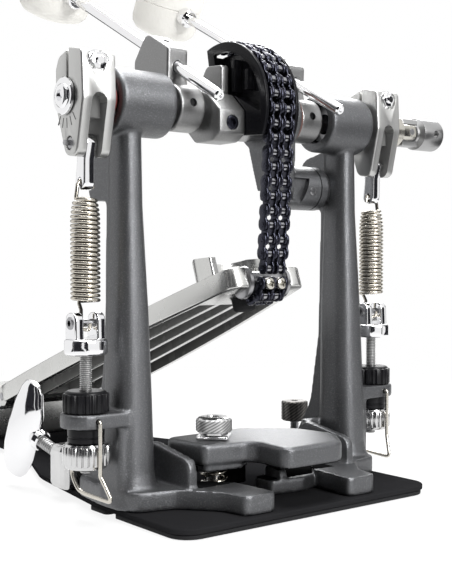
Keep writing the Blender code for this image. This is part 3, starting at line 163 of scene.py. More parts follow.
grid = bmesh.new()
bmesh.ops.create_grid(grid, x_segments=1, y_segments=1, size=FLOOR_HALF)
floor = raw("floor", grid)
floor.location.z = FLOOR_Z
floor_paint = bpy.data.materials.new("floor_white")
nodes = shader_nodes(floor_paint)
away = add(nodes, "VectorMath", add(nodes, "TexCoord").outputs["Object"], operation="LENGTH")
fade = add(nodes, "MapRange", Value=away.outputs["Value"], From_Min=0.2, From_Max=0.7, To_Min=0.86,
           To_Max=1.0)
share = add(nodes, "Math", seen_directly(nodes), fade.outputs["Result"], operation="MULTIPLY")
mixed(nodes, "OutputMaterial", share.outputs[0], add(nodes, "BsdfDiffuse", Color=(0.9, 0.9, 0.9, 1)),
      add(nodes, "Emission", Strength=1.0))
floor.data.materials.append(floor_paint)
floor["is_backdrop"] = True
print("floor", 2 * FLOOR_HALF, "m wide")

# %% [markdown]
# ## Lamps and dark walls
# Large soft lamps model the round posts. Polished metal shows only what stands round it, so curved
# black screens stand for the dark room and give the chrome its dark streaks. A picture of a room
# could do that too; screens that only show in reflections are easier to aim.

# %% Lamps and dark walls
LOOK_AT = Vector((0, 0, 0.14))
WALL_REACH, WALL_STEPS, MAT_Z = 1.05, 12, 0.004


def lamp(name, place, size, power):
    data = bpy.data.lights.new(name, "AREA")
    data.shape = "RECTANGLE"
    data.size, data.size_y = size
    data.energy = power
    thing = bpy.data.objects.new(name, data)
    thing.location = place
    thing.rotation_euler = (LOOK_AT - thing.location).to_track_quat("-Z", "Y").to_euler()
    scene.collection.objects.link(thing)


def dark_wall(name, first, last, height, mat=0.45):
    """A curved black screen between two bearings in degrees, with a black mat in front of it."""
    wall = bmesh.new()
    columns = []
    for k in range(WALL_STEPS + 1):
        bearing = radians(first + (last - first) * k / WALL_STEPS)
        out = Vector((cos(bearing), sin(bearing), 0))
        places = ((mat, MAT_Z), (WALL_REACH, MAT_Z), (WALL_REACH, height))
        columns.append([wall.verts.new(out * r + Vector((0, 0, z))) for r, z in places])
    for one, two in zip(columns, columns[1:]):
        for k in range(2):
            wall.faces.new((one[k], one[k + 1], two[k + 1], two[k]))
    thing = raw(name, wall)
    thing.data.materials.append(card_paint)
    thing.visible_camera = thing.visible_diffuse = thing.visible_shadow = False
    thing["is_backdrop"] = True


lamp("key", (0.12, -1.36, 0.85), (0.4, 1.1), 28)
lamp("fill", (-1.3, -0.4, 0.9), (0.5, 1.0), 2.5)
lamp("rim", (0.9, 0.9, 1.0), (0.8, 0.8), 18)
lamp("top", (0.05, 0.1, 1.5), (0.9, 0.9), 34)
card_paint = bpy.data.materials.new("card_black")
nodes = shader_nodes(card_paint)
add(nodes, "OutputMaterial", add(nodes, "BsdfDiffuse", Color=(0.012, 0.012, 0.014, 1)).outputs[0])
dark_wall("wall_far_left", 82, 98, 1.0, 0.6)
dark_wall("wall_left", 150, 181, 1.1, 0.5)
dark_wall("wall_near_left", -176, -150, 1.2)
dark_wall("wall_behind_camera", -147, -96, 1.2)
dark_wall("wall_near_right", -66, -36, 0.4)
dark_wall("wall_right", -24, 4, 0.6)
print("lamps", len(bpy.data.lights))

# %% [markdown]
# ## Finishes
# Every finish is built from three shared effects. Fine grain is what sand casting, blasting or
# moulding leaves on a surface. Patina is the slow change of tone over a hand's breadth that keeps a
# real part from looking like one flat colour. Brushed lines are the marks of a lathe. All three read
# the piece's own coordinates, so the marks stay on the piece when it moves.

# %% Shared effects
def effect(name, scale, *outputs):
    """A node group, with what is inside it: its scale, the place on the piece and its outputs."""
    group = bpy.data.node_groups.new(name, "ShaderNodeTree")
    made = group.interface.new_socket("Scale", in_out="INPUT", socket_type="NodeSocketFloat")
    made.default_value = scale
    for socket in outputs:
        group.interface.new_socket(socket, in_out="OUTPUT", socket_type="NodeSocketFloat")
    given = group.nodes.new("NodeGroupInput").outputs["Scale"]
    place = add(group.nodes, "TexCoord").outputs["Object"]
    return group, given, place, group.nodes.new("NodeGroupOutput").inputs


def noise(group, place, scale, detail, rough=0.55):
    made = add(group.nodes, "TexNoise", Vector=place, Scale=scale, Detail=detail, Roughness=rough)
    return made.outputs["Fac"]


grain_group, scale, place, sink = effect("fine_grain", 900.0, "Height", "Speck")
fine = noise(grain_group, place, scale, 4.0, 0.65)
join(fine, sink["Height"])
ramp = add(grain_group.nodes, "MapRange", Value=fine, From_Min=0.52, From_Max=0.72)
join(ramp.outputs["Result"], sink["Speck"])

patina_group, scale, place, sink = effect("patina", 30.0, "Tone")
join(noise(patina_group, place, scale, 5.0), sink["Tone"])

brush_group, scale, place, sink = effect("brushed", 60.0, "Line")
squeeze = add(brush_group.nodes, "Mapping", Vector=place, Scale=(1, 1, 30))
join(noise(brush_group, squeeze.outputs[0], scale, 2.0), sink["Line"])
print("effects", len(bpy.data.node_groups))

# %% [markdown]
# ## One maker for all finishes
# Metal, plastic, rubber and felt differ in colour, gloss and grain, and hardly in how the shader is
# wired. One function makes them all. Where a mesh marks its slots, threads and other hollows with a
# painted shade value, the finish turns dark and loses its shine there: painted shade for the shadow in
# them.

# %% Finish maker
# Painted shade keeps only this share of a finish's colour in the marked hollows.
PAINTED_SHADE_TONE, BUMP_DEPTH = 0.06, 0.0004


def tinted(colour, amount):
    return tuple(min(1.0, c * amount) for c in colour) + (1,)


def toned(nodes, first, second, factor):
    """Go from one colour to a second where a factor says so."""
    return add(nodes, "Mix", data_type="RGBA", A=first, B=second, Factor=factor).outputs["Result"]


def ranged(nodes, factor, low, high):
    """Turn a factor from 0 to 1 into a value between two others."""
    return add(nodes, "MapRange", Value=factor, To_Min=low, To_Max=high).outputs["Result"]


def finish(name, colour, rough, metal, spread=(0.85, 1.12), rough_spread=0.05, grain=(900.0, 0.0),
           patina=35.0, brushed=False, specular=0.5, speck=0.0, shade_painted_in=False):
    """A material whose tone and gloss drift over the piece, with a grain of the given height."""
    mat = bpy.data.materials.new(name)
    nodes = shader_nodes(mat)
    shader = add(nodes, "BsdfPrincipled", Metallic=metal, Specular_IOR_Level=specular)
    add(nodes, "OutputMaterial", shader.outputs[0])
    group = brush_group if brushed else patina_group
    drift = add(nodes, "Group", node_tree=group, Scale=patina).outputs[0]
    surface = toned(nodes, tinted(colour, spread[0]), tinted(colour, spread[1]), drift)
    gloss = ranged(nodes, drift, max(0.0, rough - rough_spread), rough + rough_spread)
    join(gloss, shader.inputs["Roughness"])
    if grain[1]:
        skin = add(nodes, "Group", node_tree=grain_group, Scale=grain[0]).outputs
        bump = add(nodes, "Bump", Strength=grain[1], Distance=BUMP_DEPTH, Height=skin["Height"])
        join(bump.outputs[0], shader.inputs["Normal"])
        if speck:
            surface = toned(nodes, surface, tinted(colour, speck), skin["Speck"])
    # Painted shade: where the mesh's marked value is set, the colour turns dark and the metal and gloss go,
    # as if shadow fell there.
    if shade_painted_in:
        depth = add(nodes, "Attribute", attribute_name="painted_shade").outputs["Fac"]
        surface = toned(nodes, surface, tinted(colour, PAINTED_SHADE_TONE), depth)
        join(ranged(nodes, depth, metal, 0.0), shader.inputs["Metallic"])
        join(ranged(nodes, depth, specular, 0.0), shader.inputs["Specular IOR Level"])
    join(surface, shader.inputs["Base Color"])
    return mat


# %% The finishes
CAST = finish("cast_grey", (0.115, 0.117, 0.122), 0.38, 0.85, (0.82, 1.12), 0.06, (1300.0, 0.5), 28.0,
              speck=1.7, shade_painted_in=True)
ALLOY = finish("satin_alloy", (0.56, 0.56, 0.55), 0.36, 1.0, (0.92, 1.08), 0.05, (1800.0, 0.1), 40.0,
               shade_painted_in=True)
HUB_CAST = finish("hub_cast", (0.25, 0.25, 0.25), 0.36, 0.95, (0.88, 1.1), 0.05, (1500.0, 0.3), 34.0,
                  speck=1.3)
NICKEL_PLATE = finish("nickel_plate", (0.56, 0.54, 0.49), 0.18, 1.0, (0.9, 1.1), patina=150.0)
CHROME = finish("chrome", (0.86, 0.86, 0.87), 0.06, 1.0, (0.97, 1.02), 0.02, patina=60.0)
NICKEL = finish("nickel_wire", (0.58, 0.545, 0.48), 0.24, 1.0, (0.85, 1.15), 0.06, patina=90.0,
                shade_painted_in=True)
BAIL_STEEL = finish("bail_steel", (0.62, 0.59, 0.53), 0.25, 1.0, (0.9, 1.1), patina=80.0)
BLACK_PLASTIC = finish("black_plastic", (0.006, 0.006, 0.007), 0.34, 0.0, (0.8, 1.3), 0.06, (700.0, 0.08),
                       specular=0.2)
CAM_GLOSS = finish("cam_gloss", (0.005, 0.005, 0.006), 0.2, 0.0, (0.8, 1.2), 0.04, specular=0.12)
CHAIN_BLUE = finish("blued_steel", (0.03, 0.031, 0.043), 0.24, 0.9, (0.7, 1.5), 0.07, patina=160.0)
ROLLER_BRIGHT = finish("roller_bright", (0.36, 0.36, 0.38), 0.2, 1.0, (0.8, 1.15), patina=200.0)
PLATE_BLACK = finish("plate_black", (0.014, 0.014, 0.015), 0.4, 0.0, (0.8, 1.25), 0.06, (600.0, 0.1), 20.0,
                     specular=0.0)
RUBBER = finish("rubber", (0.009, 0.009, 0.01), 0.75, 0.0, (0.8, 1.3), 0.05, (500.0, 0.25), 40.0,
                specular=0.25)
SEAL_RED = finish("seal_red", (0.16, 0.022, 0.018), 0.45, 0.0, (0.8, 1.25), 0.08, (400.0, 0.1), 120.0)
SEAL_BROWN = finish("seal_brown", (0.075, 0.035, 0.028), 0.45, 0.0, (0.8, 1.25), 0.08, (400.0, 0.1), 120.0)
STEEL = finish("plain_steel", (0.36, 0.36, 0.37), 0.3, 1.0, (0.85, 1.15), 0.06, (900.0, 0.05), 60.0)
BOARD_ALLOY = finish("board_alloy", (0.63, 0.63, 0.615), 0.27, 1.0, (0.85, 1.1), 0.06, (700.0, 0.06), 45.0,
                     shade_painted_in=True)
STEEL_BRIGHT = finish("bright_steel", (0.62, 0.62, 0.62), 0.2, 1.0, (0.9, 1.1), patina=90.0)
KNURL_STEEL = finish("knurled_steel", (0.66, 0.66, 0.66), 0.36, 1.0, (0.88, 1.12), 0.06, patina=90.0,
                     shade_painted_in=True)
KNURL_DARK = finish("knurled_dark", (0.22, 0.21, 0.2), 0.3, 1.0, (0.88, 1.12), 0.06, patina=90.0,
                    shade_painted_in=True)
SOCKET_STEEL = finish("turned_steel", (0.4, 0.4, 0.4), 0.3, 1.0, (0.85, 1.12), 0.06, patina=500.0,
                      brushed=True)
FELT = finish("felt", (0.6, 0.59, 0.56), 0.95, 0.0, (0.94, 1.04), 0.03, (450.0, 0.6), 70.0)
DARK = finish("shadow_dark", (0.01, 0.01, 0.011), 0.5, 0.3, (0.8, 1.2))
print("finishes", len(bpy.data.materials))

# %% [markdown]
# ## Plates and turned pieces
# A slab starts as a few corner points. Beveling the corners rounds the outline, extruding it gives
# the thickness, and beveling the rims takes the sharpness off. A turned piece is a profile that is
# spun round an axis. With these two, and a tube along a path, most of the pedal can be made.

# %% Slabs
AXES = {"X": Vector((1, 0, 0)), "Y": Vector((0, 1, 0)), "Z": Vector((0, 0, 1))}
SHARP = 0.9


def lift(axis, a, b, along):
    """A point from two outline coordinates and a place along the axis, in the frame."""
    return Vector({"X": (along, a, b), "Y": (a, along, b), "Z": (a, b, along)}[axis])


def thicken(bm, axis, depth):
    raised = bmesh.ops.extrude_face_region(bm, geom=list(bm.faces))["geom"]
    moved = [v for v in raised if isinstance(v, bmesh.types.BMVert)]
    bmesh.ops.translate(bm, verts=moved, vec=AXES[axis] * depth * MM)
    bmesh.ops.recalc_face_normals(bm, faces=bm.faces)


def slab(axis, corners, low, high, rim=0.0, steps=4, segments=3):
    """A plate of the given (a, b, radius) outline in millimetres, with softened rims."""
    bm = bmesh.new()
    verts = [bm.verts.new(lift(axis, a, b, low) * MM) for a, b, *_ in corners]
    bm.faces.new(verts)
    reaches = []
    for i, corner in enumerate(corners):
        here = Vector(corner[:2])
        back = Vector(corners[i - 1][:2]) - here
        ahead = Vector(corners[(i + 1) % len(corners)][:2]) - here
        radius = corner[2] if len(corner) > 2 else 0
        reaches.append(radius * MM / tan(back.angle(ahead) / 2))
    for vert, reach in zip(verts, reaches):
        if reach > 1e-6:
            bmesh.ops.bevel(bm, geom=[vert], offset=reach, segments=steps, profile=0.5,
                            affect="VERTICES", material=-1, clamp_overlap=False)
    thicken(bm, axis, high - low)
    if rim:
        flat = [e for e in bm.edges if e.calc_face_angle(0) > SHARP
                and abs((e.verts[1].co - e.verts[0].co).normalized().dot(AXES[axis])) < 0.2]
        bmesh.ops.bevel(bm, geom=flat, offset=rim * MM, segments=segments, profile=0.5,
                        affect="EDGES", material=-1, clamp_overlap=True)
    return bm


def oblong(a, b, far_a, far_b, radius=0.0, far_radius=None):
    """The outline of a rectangle; the two corners at far_b can have a radius of their own."""
    far = radius if far_radius is None else far_radius
    return [(a, b, radius), (far_a, b, radius), (far_a, far_b, far), (a, far_b, far)]


def hexagon(corner, centre=(0, 0), sides=6, radius=0.0, turned_by=0.0):
    steps = [2 * pi * k / sides + turned_by for k in range(sides)]
    return [(centre[0] + corner * cos(t), centre[1] + corner * sin(t), radius) for t in steps]


# %% Turned pieces
def closed(bm):
    """Fill the open ends of a skin and turn its faces outwards."""
    bmesh.ops.holes_fill(bm, edges=[e for e in bm.edges if e.is_boundary])
    bmesh.ops.recalc_face_normals(bm, faces=bm.faces)
    return bm


def turned(axis, profile, centre, sides=48):
    """Spin (along, radius) pairs in millimetres round an axis; an open profile is closed to the axis."""
    bm = bmesh.new()
    if profile[0] != profile[-1]:
        first, last = [[(along, 0)] if radius else [] for along, radius in (profile[0], profile[-1])]
        profile = [*first, *profile, *last]
    verts = [bm.verts.new(lift(axis, radius + centre[0], centre[1], along) * MM)
             for along, radius in profile]
    edges = [bm.edges.new(pair) for pair in zip(verts, verts[1:])]
    bmesh.ops.spin(bm, geom=verts + edges, cent=lift(axis, *centre, 0) * MM, axis=AXES[axis],
                   angle=2 * pi, steps=sides, use_merge=True)
    bmesh.ops.remove_doubles(bm, verts=bm.verts, dist=1e-7)
    return closed(bm)


def drill(axis, radius, low, high, centre, sides=32):
    """A plain round pin, or the cutter of a plain hole."""
    return turned(axis, [(low, radius), (high, radius)], centre, sides)


def shaft(axis, radius, low, high, centre, cut, sides=48):
    """A round bar with chamfered ends."""
    return turned(axis, [(low, radius - cut), (low + cut, radius), (high - cut, radius),
                         (high, radius - cut)], centre, sides)


def hollow(axis, outer, inner, low, high, centre, rim=0.4, sides=48):
    """A ring with softened edges."""
    return turned(axis, [(low, inner), (low, outer - rim), (low + rim, outer), (high - rim, outer),
                         (high, outer - rim), (high, inner), (low, inner)], centre, sides)


def ribbed(radii, count, low, high, centre, rim):
    """A ribbed grip: the radii repeat round the outline once for each rib."""
    bm = bmesh.new()
    total = len(radii) * count
    for vert in bmesh.ops.create_circle(bm, cap_ends=True, segments=total, radius=1)["verts"]:
        step = round(atan2(vert.co.y, vert.co.x) / (2 * pi) * total) % total
        flat = vert.co.xy.normalized() * radii[step % len(radii)]
        vert.co = lift("Z", flat.x + centre[0], flat.y + centre[1], low) * MM
    thicken(bm, "Z", high - low)
    ends = [e for e in bm.edges if abs((e.verts[1].co - e.verts[0].co).dot(AXES["Z"])) < 1e-7
            and e.calc_face_angle(0) > SHARP]
    bmesh.ops.bevel(bm, geom=ends, offset=rim * MM, segments=2, profile=0.5, affect="EDGES", material=-1)
    return bm


# %% [markdown]
# ## Cutting, melting and dressing
# Holes and slots are cut with helper meshes, as a mill cuts them. A casting is melted from several
# shapes on a fine grid and then smoothed. A finished piece gets its material, rides on a body of the
# frame, and stands for the solids that it covers. Shapes are drawn once, on the right, and mirrored.

# %% Joining, turning and cutting
def gather(*shapes):
    """Put several meshes into one."""
    whole = bmesh.new()
    for shape in shapes:
        mesh = bpy.data.meshes.new("passing")
        shape.to_mesh(mesh)
        shape.free()
        whole.from_mesh(mesh)
        bpy.data.meshes.remove(mesh)
    return whole


def sided(bm, side):
    """Shapes are drawn on the right; the left one is a mirror image."""
    if side < 0:
        bmesh.ops.scale(bm, vec=(-1, 1, 1), verts=bm.verts)
        bmesh.ops.reverse_faces(bm, faces=bm.faces)
    return bm


def turn(bm, angle, centre):
    """Swing a mesh about an axis along X."""
    spin = Matrix.Rotation(radians(angle), 3, "X")
    bmesh.ops.rotate(bm, cent=Vector(centre) * MM, matrix=spin, verts=bm.verts)
    return bm


def settle(thing):
    """Replace an object's mesh by what its modifiers make of it."""
    bpy.context.view_layer.update()
    evaluated = thing.evaluated_get(bpy.context.evaluated_depsgraph_get())
    mesh = bpy.data.meshes.new_from_object(evaluated)
    thing.modifiers.clear()
    thing.data = mesh
    return thing


def carve(thing, cutters, operation="DIFFERENCE"):
    """Cut holes and slots with helper meshes, which are then removed."""
    helpers = []
    for cutter in cutters:
        bmesh.ops.recalc_face_normals(cutter, faces=cutter.faces)
        helpers.append(raw("helper", cutter))
        step = thing.modifiers.new("carve", "BOOLEAN")
        step.operation = operation
        step.solver = "EXACT"
        step.object = helpers[-1]
    settle(thing)
    for helper in helpers:
        bpy.data.objects.remove(helper)


def bevelled(thing, width, angle=50):
    """Break all sharp edges of a cut piece."""
    edge = thing.modifiers.new("edge", "BEVEL")
    edge.width = width * MM
    edge.segments = 2
    edge.limit_method = "ANGLE"
    edge.angle_limit = radians(angle)
    edge.use_clamp_overlap = True
    return settle(thing)


# %% Dressing
def measured(thing):
    print(thing.name, *(round(d / MM, 1) for d in thing.dimensions), "mm")
    return thing


def dress(thing, material, body, *nodes, slot, smooth=38):
    """Give a piece its finish, let it ride on a body and stand for the solids it covers."""
    mesh = thing.data
    mesh.materials.clear()
    mesh.materials.append(material)
    mesh.shade_smooth()
    mesh.set_sharp_from_angle(angle=radians(smooth))
    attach(thing, body)
    if nodes:
        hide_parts(*nodes)
    return measured(thing)


def shade_inside(thing, test, amount=1.0):
    """Mark the faces of slots, channels and other hollows for the finish to paint dark: painted shade,
    where shadow falls.
    """
    mesh = thing.data
    marks = mesh.attributes.new("painted_shade", "FLOAT", "FACE").data
    for face in mesh.polygons:
        marks[face.index].value = amount if test(face.center / MM, face.normal) else 0.0


def piece(name, bm, material, body, *nodes, slot, cutters=(), smooth=38, side=1):
    thing = raw(name, sided(bm, side))
    if cutters:
        carve(thing, [sided(cutter, side) for cutter in cutters])
    return dress(thing, material, body, *nodes, slot=slot, smooth=smooth)


def casting(name, shapes, material, body, *nodes, slot="cast", voxel=1.0, passes=5, cutters=(), side=1):
    """Melt overlapping shapes into one skin and round its inner and outer corners."""
    thing = raw(name, sided(gather(*shapes), side))
    melt = thing.modifiers.new("melt", "REMESH")
    melt.mode = "VOXEL"
    melt.voxel_size = voxel * MM
    soft = thing.modifiers.new("soft", "SMOOTH")
    soft.factor = 0.5
    soft.iterations = passes
    settle(thing)
    carve(thing, [sided(cutter, side) for cutter in cutters])
    return dress(thing, material, body, *nodes, slot=slot, smooth=50)


# %% [markdown]
# ## Base plate and sole
# A black steel plate with generous corners lies on a rubber sole. The rims are softened so that they
# catch a line of light, which is what makes the thin plate readable in the photograph.

# %% Base
AXLE = 220.0
PLATE_LOW, PLATE_TOP, SOLE_TOP = 2.6, 5.6, 2.3


def both_sides(right):
    """Complete an outline with the mirror image of its right half."""
    return right + [(-a, b, r) for a, b, r in reversed(right)]


plate = both_sides([(90, -66, 13), (90, 16, 60), (78, 100, 60), (52, 170, 40), (48, 300, 15)])
piece("dressed_base_plate", slab("Z", plate, PLATE_LOW, PLATE_TOP, 0.7, 8), PLATE_BLACK, "frame",
      "base_plate", slot="plate")
sole = both_sides([(89, -65, 12), (89, -3, 2), (56, -3, 4), (42, 20, 8), (42, 296, 12)])
pads = [slab("Z", oblong(s * 66, 5, s * 89, 23, 3), 0, SOLE_TOP, 0.4) for s in (-1, 1)]
piece("dressed_sole", gather(slab("Z", sole, 0, SOLE_TOP, 0.4, 6), *pads), RUBBER, "frame", "rubber_sole",
      slot="rubber")

# %% [markdown]
# ## Cast posts
# Each post is one casting: a tapering column, a web behind it, a round bearing housing across its top,
# a shelf for the spring and a spreading foot. The shapes are laid into each other and melted into one
# skin, and smoothing then leaves the soft inner corners that a casting has.

# %% Posts
POST_X = 79.0
FOOT_LOW, FOOT_TOP = 5.9, 16
BEARING_BORE = 12.3
SPRING_X, SPRING_Y = 105.0, -1.6
BAIL_Z = 53.85
SPUR_AT = (84.0, 48.0)
COLUMN = ((6, 14, -20, 17), (16, 13, -18, 15), (24, 11.4, -16.6, 13), (62, 10.8, -15, 12),
          (110, 9.6, -12.8, 12), (165, 7.4, -9.6, 11), (212, 6.8, -8.8, 10.5))


def lofted(rings, shape):
    """Bridge a row of rings; shape says where a ring's numbers put a point of the unit circle."""
    bm = bmesh.new()
    loops = []
    for ring in rings:
        verts = bmesh.ops.create_circle(bm, segments=40, radius=1)["verts"]
        for vert in verts:
            vert.co = Vector(shape(*ring, vert.co.x, vert.co.y)) * MM
        loops.append([e for e in bm.edges if all(v in verts for v in e.verts)])
    for one, two in zip(loops, loops[1:]):
        bmesh.ops.bridge_loops(bm, edges=one + two)
    return closed(bm)


def column_point(z, half_x, front, back, x, y):
    """A round-cornered ring: the powers make the circle fuller."""
    angle = atan2(y, x)
    fuller = [copysign(abs(part) ** 0.75, part) for part in (cos(angle), sin(angle))]
    return POST_X + half_x * fuller[0], (front + back) / 2 + (back - front) / 2 * fuller[1], z


def post_shapes():
    web = [(6, 9, 0), (44, 9, 3), (40, 18, 6), (23, 46, 26), (15.5, 90, 30), (13.5, 168.5, 3),
           (32, 169, 6), (33, 200, 9), (6, 206, 0)]
    foot = [(88, -22, 7), (93, 4, 8), (88, 40, 10), (60, 40, 10), (57, -2, 10), (29, -28, 8),
            (26, -62, 3), (47, -62, 4), (50, -46, 14), (66, -27, 10)]
    cheek = [(-31, 10, 0), (-31, 31, 6), (12, 38, 8), (12, 10, 0)]
    shelf = [(58, 6, 3), (58, 14, 3), (84, 14, 0), (84, 6, 0)]
    arm = [(POST_X, -14, 0), (118, -14, 11), (118, 11, 11), (POST_X, 11, 0)]
    wall = [(82, -13, 0), (91.5, -13, 3), (91.5, 9, 3), (82, 9, 0)]
    return [lofted(COLUMN, column_point), slab("X", web, POST_X - 4.5, POST_X + 4.5),
            slab("Z", foot, FOOT_LOW, FOOT_TOP), slab("X", cheek, 55, 60.5), slab("Z", shelf, 9.9, 37),
            slab("Z", arm, 50, 57.7), slab("Z", wall, 12, 56.7), shaft("X", 17.7, 57, 91, (0, AXLE), 0.8)]


def post_holes():
    bail_holes = [drill("Y", 1.6, *ends, (SPRING_X, BAIL_Z), 24) for ends in ((-20, -10), (7, 20))]
    return [drill("X", BEARING_BORE, 50, 100, (0, AXLE), 48),
            drill("Z", 3.6, 44, 64, (SPRING_X, SPRING_Y)), *bail_holes]


# Top faces of the foot bar under the jaw, where the jaw's shadow falls: they get painted shadow.
def under_jaw(at, out):
    return -58 < at.x < 44 and at.y > -31 and 9 < at.z < 22 and out.z > 0.6


bar = [(64, -6, 0), (64, -22, 0), (16, -36, 5), (-6, -33, 3), (-6, -18, 4), (30, -8, 8)]
fin = [(-33, 8, 0), (-33, 19, 2), (-20, 21.5, 2), (-20, 8, 0)]
ear = [(75, 30, 0), (92, 30, 0), (92, 58, 8), (75, 58, 6)]
extra = [slab("Z", bar, FOOT_LOW, 14), slab("X", fin, 1, 6), slab("Z", ear, FOOT_LOW, FOOT_TOP)]
spur_hole = drill("Z", 3.4, 0, 22, SPUR_AT, 24)
posts = [casting("dressed_left_post", post_shapes(), CAST, "frame", "left_post", side=-1,
                 cutters=post_holes()),
         casting("dressed_right_post", post_shapes() + extra, CAST, "frame", "right_post",
                 cutters=post_holes() + [spur_hole])]
for post in posts:
    # Painted shadow on the foot bar under the jaw.
    shade_inside(post, under_jaw)
    print(post.name, "faces", len(post.data.polygons))

# %% [markdown]
# ## Centre arm
# A cranked arm carries the inner ends of both axles on a stub from the right post. It is melted like
# the posts, on a finer grid. A seam, a flat and a small screw are cut or set into its boss.

# %% Centre arm
BOSS, BOSS_Y = AXLE - 39, 12.0
SCREW_AT = (55, BOSS - 2.3)

neck = [(-12.5, BOSS - 4), (1, BOSS - 4), (5, BOSS + 8), (14.5, AXLE), (-14.5, AXLE)]
elbow = [(14, -10, 3), (28, -10, 3), (46, 4, 0), (46, 20, 0), (36, 18, 3), (16, 3, 3)]
boss = turned("X", [(31, 6), (40, 13.5), (68, 13.5), (71.5, 11), (75.5, 11)],
              (BOSS_Y, BOSS))
crown = shaft("X", 19.5, 12, 30, (0, AXLE), 1.0, 64)
recess = slab("Y", [(37, BOSS - 12), (46.6, BOSS - 13), (52.5, BOSS + 5.3), (37, BOSS + 5.3)], -20,
              BOSS_Y - 9.7)
seam = turned("X", [(61.6, 12.7), (62.5, 12.7), (62.5, 18), (61.6, 18), (61.6, 12.7)], (BOSS_Y, BOSS), 64)
casting("dressed_centre_arm",
        [boss, crown, slab("X", neck, 12.5, 29.5), slab("Z", elbow, BOSS - 9, BOSS + 9)], CAST,
        "frame", "centre_arm", voxel=0.7, passes=3,
        cutters=[drill("X", BEARING_BORE, 5, 40, (0, AXLE), 48), recess, seam])
grub = turned("Y", [(BOSS_Y + a, r) for a, r in ((-13.6, 2.1), (-13.2, 2.6), (-11, 2.6))],
              SCREW_AT, 32)
piece("arm_grub_screw", grub, STEEL, "frame", slot="steel",
      cutters=[slab("Y", hexagon(1.3, SCREW_AT), BOSS_Y - 15, BOSS_Y - 12.6)])

# %% [markdown]
# ## Seals, bearings and axles
# The seals are rubber rings beside the bearings. The two hexagonal axles are plain bar stock; the left
# one ends in a flanged screw with a hexagon socket.

# %% Seals, bearings and axles
AXLE_HEX, SEAL_BORE = 5.77, 6.2

piece("dressed_left_seal", hollow("X", 12, SEAL_BORE, -94.7, -91.3, (0, AXLE), 0.8), SEAL_RED, "frame",
      "left_seal", slot="seal")
piece("dressed_centre_seal", hollow("X", 15, SEAL_BORE, 30.3, 35.2, (0, AXLE), 1.0), SEAL_BROWN, "frame",
      "centre_seal", slot="seal")
for name, low, high in (("left", -83, -65), ("right", 65, 83), ("centre", 13, 29)):
    ring = hollow("X", 11.9, SEAL_BORE, low + 0.1, high - 0.1, (0, AXLE), 0.6, 40)
    piece(f"dressed_{name}_bearing", ring, STEEL, "frame", f"{name}_bearing", slot="steel")
end_screw = turned("X", [(-118.9, 5), (-118.3, 6), (-117.3, 6.5), (-117.3, 9.2), (-116.9, 9.6),
                         (-115.7, 9.6), (-115.3, 9.2)], (0, AXLE), 64)
piece("dressed_end_screw", end_screw, CHROME, "main_shaft", slot="chrome",
      cutters=[slab("X", hexagon(3.3, (0, AXLE)), -122, -116.5)])
for name, low, high in (("main", -115.4, 20.7), ("slave", 21.3, 126.2)):
    piece(f"dressed_{name}_axle", slab("X", hexagon(AXLE_HEX, (0, AXLE)), low, high, 0.4), STEEL,
          f"{name}_shaft", f"{name}_axle", slot="steel")

# %% [markdown]
# ## Rockers
# A rocker is a pinch lever: a slot splits its top so that a cross bolt can clamp it on the axle, and
# a fork at the bottom holds the link of the spring. The outline is a beveled slab, the slots are cut
# out of it, and five short lines on its outer face mark the beater's angle.

# %% Rockers
LINK_AT = (-3.2, AXLE - 24)
FORK_HALF = 4.5
SIDES = ((-1, "left", "main_shaft"), (1, "right", "slave_shaft"))


def on_axle(outline):
    """An outline whose heights are given from the axle."""
    return [(a, b + AXLE, r) for a, b, r in outline]


def axle_hole(low, high):
    return slab("X", hexagon(5.95, (0, AXLE)), low, high)


# Faces inside the fork, where shade falls: they get painted shade.
def in_fork(at, out):
    return abs(abs(at.x) - SPRING_X) < FORK_HALF + 0.2 and at.z < AXLE + 0.6 and at.y > -13.4


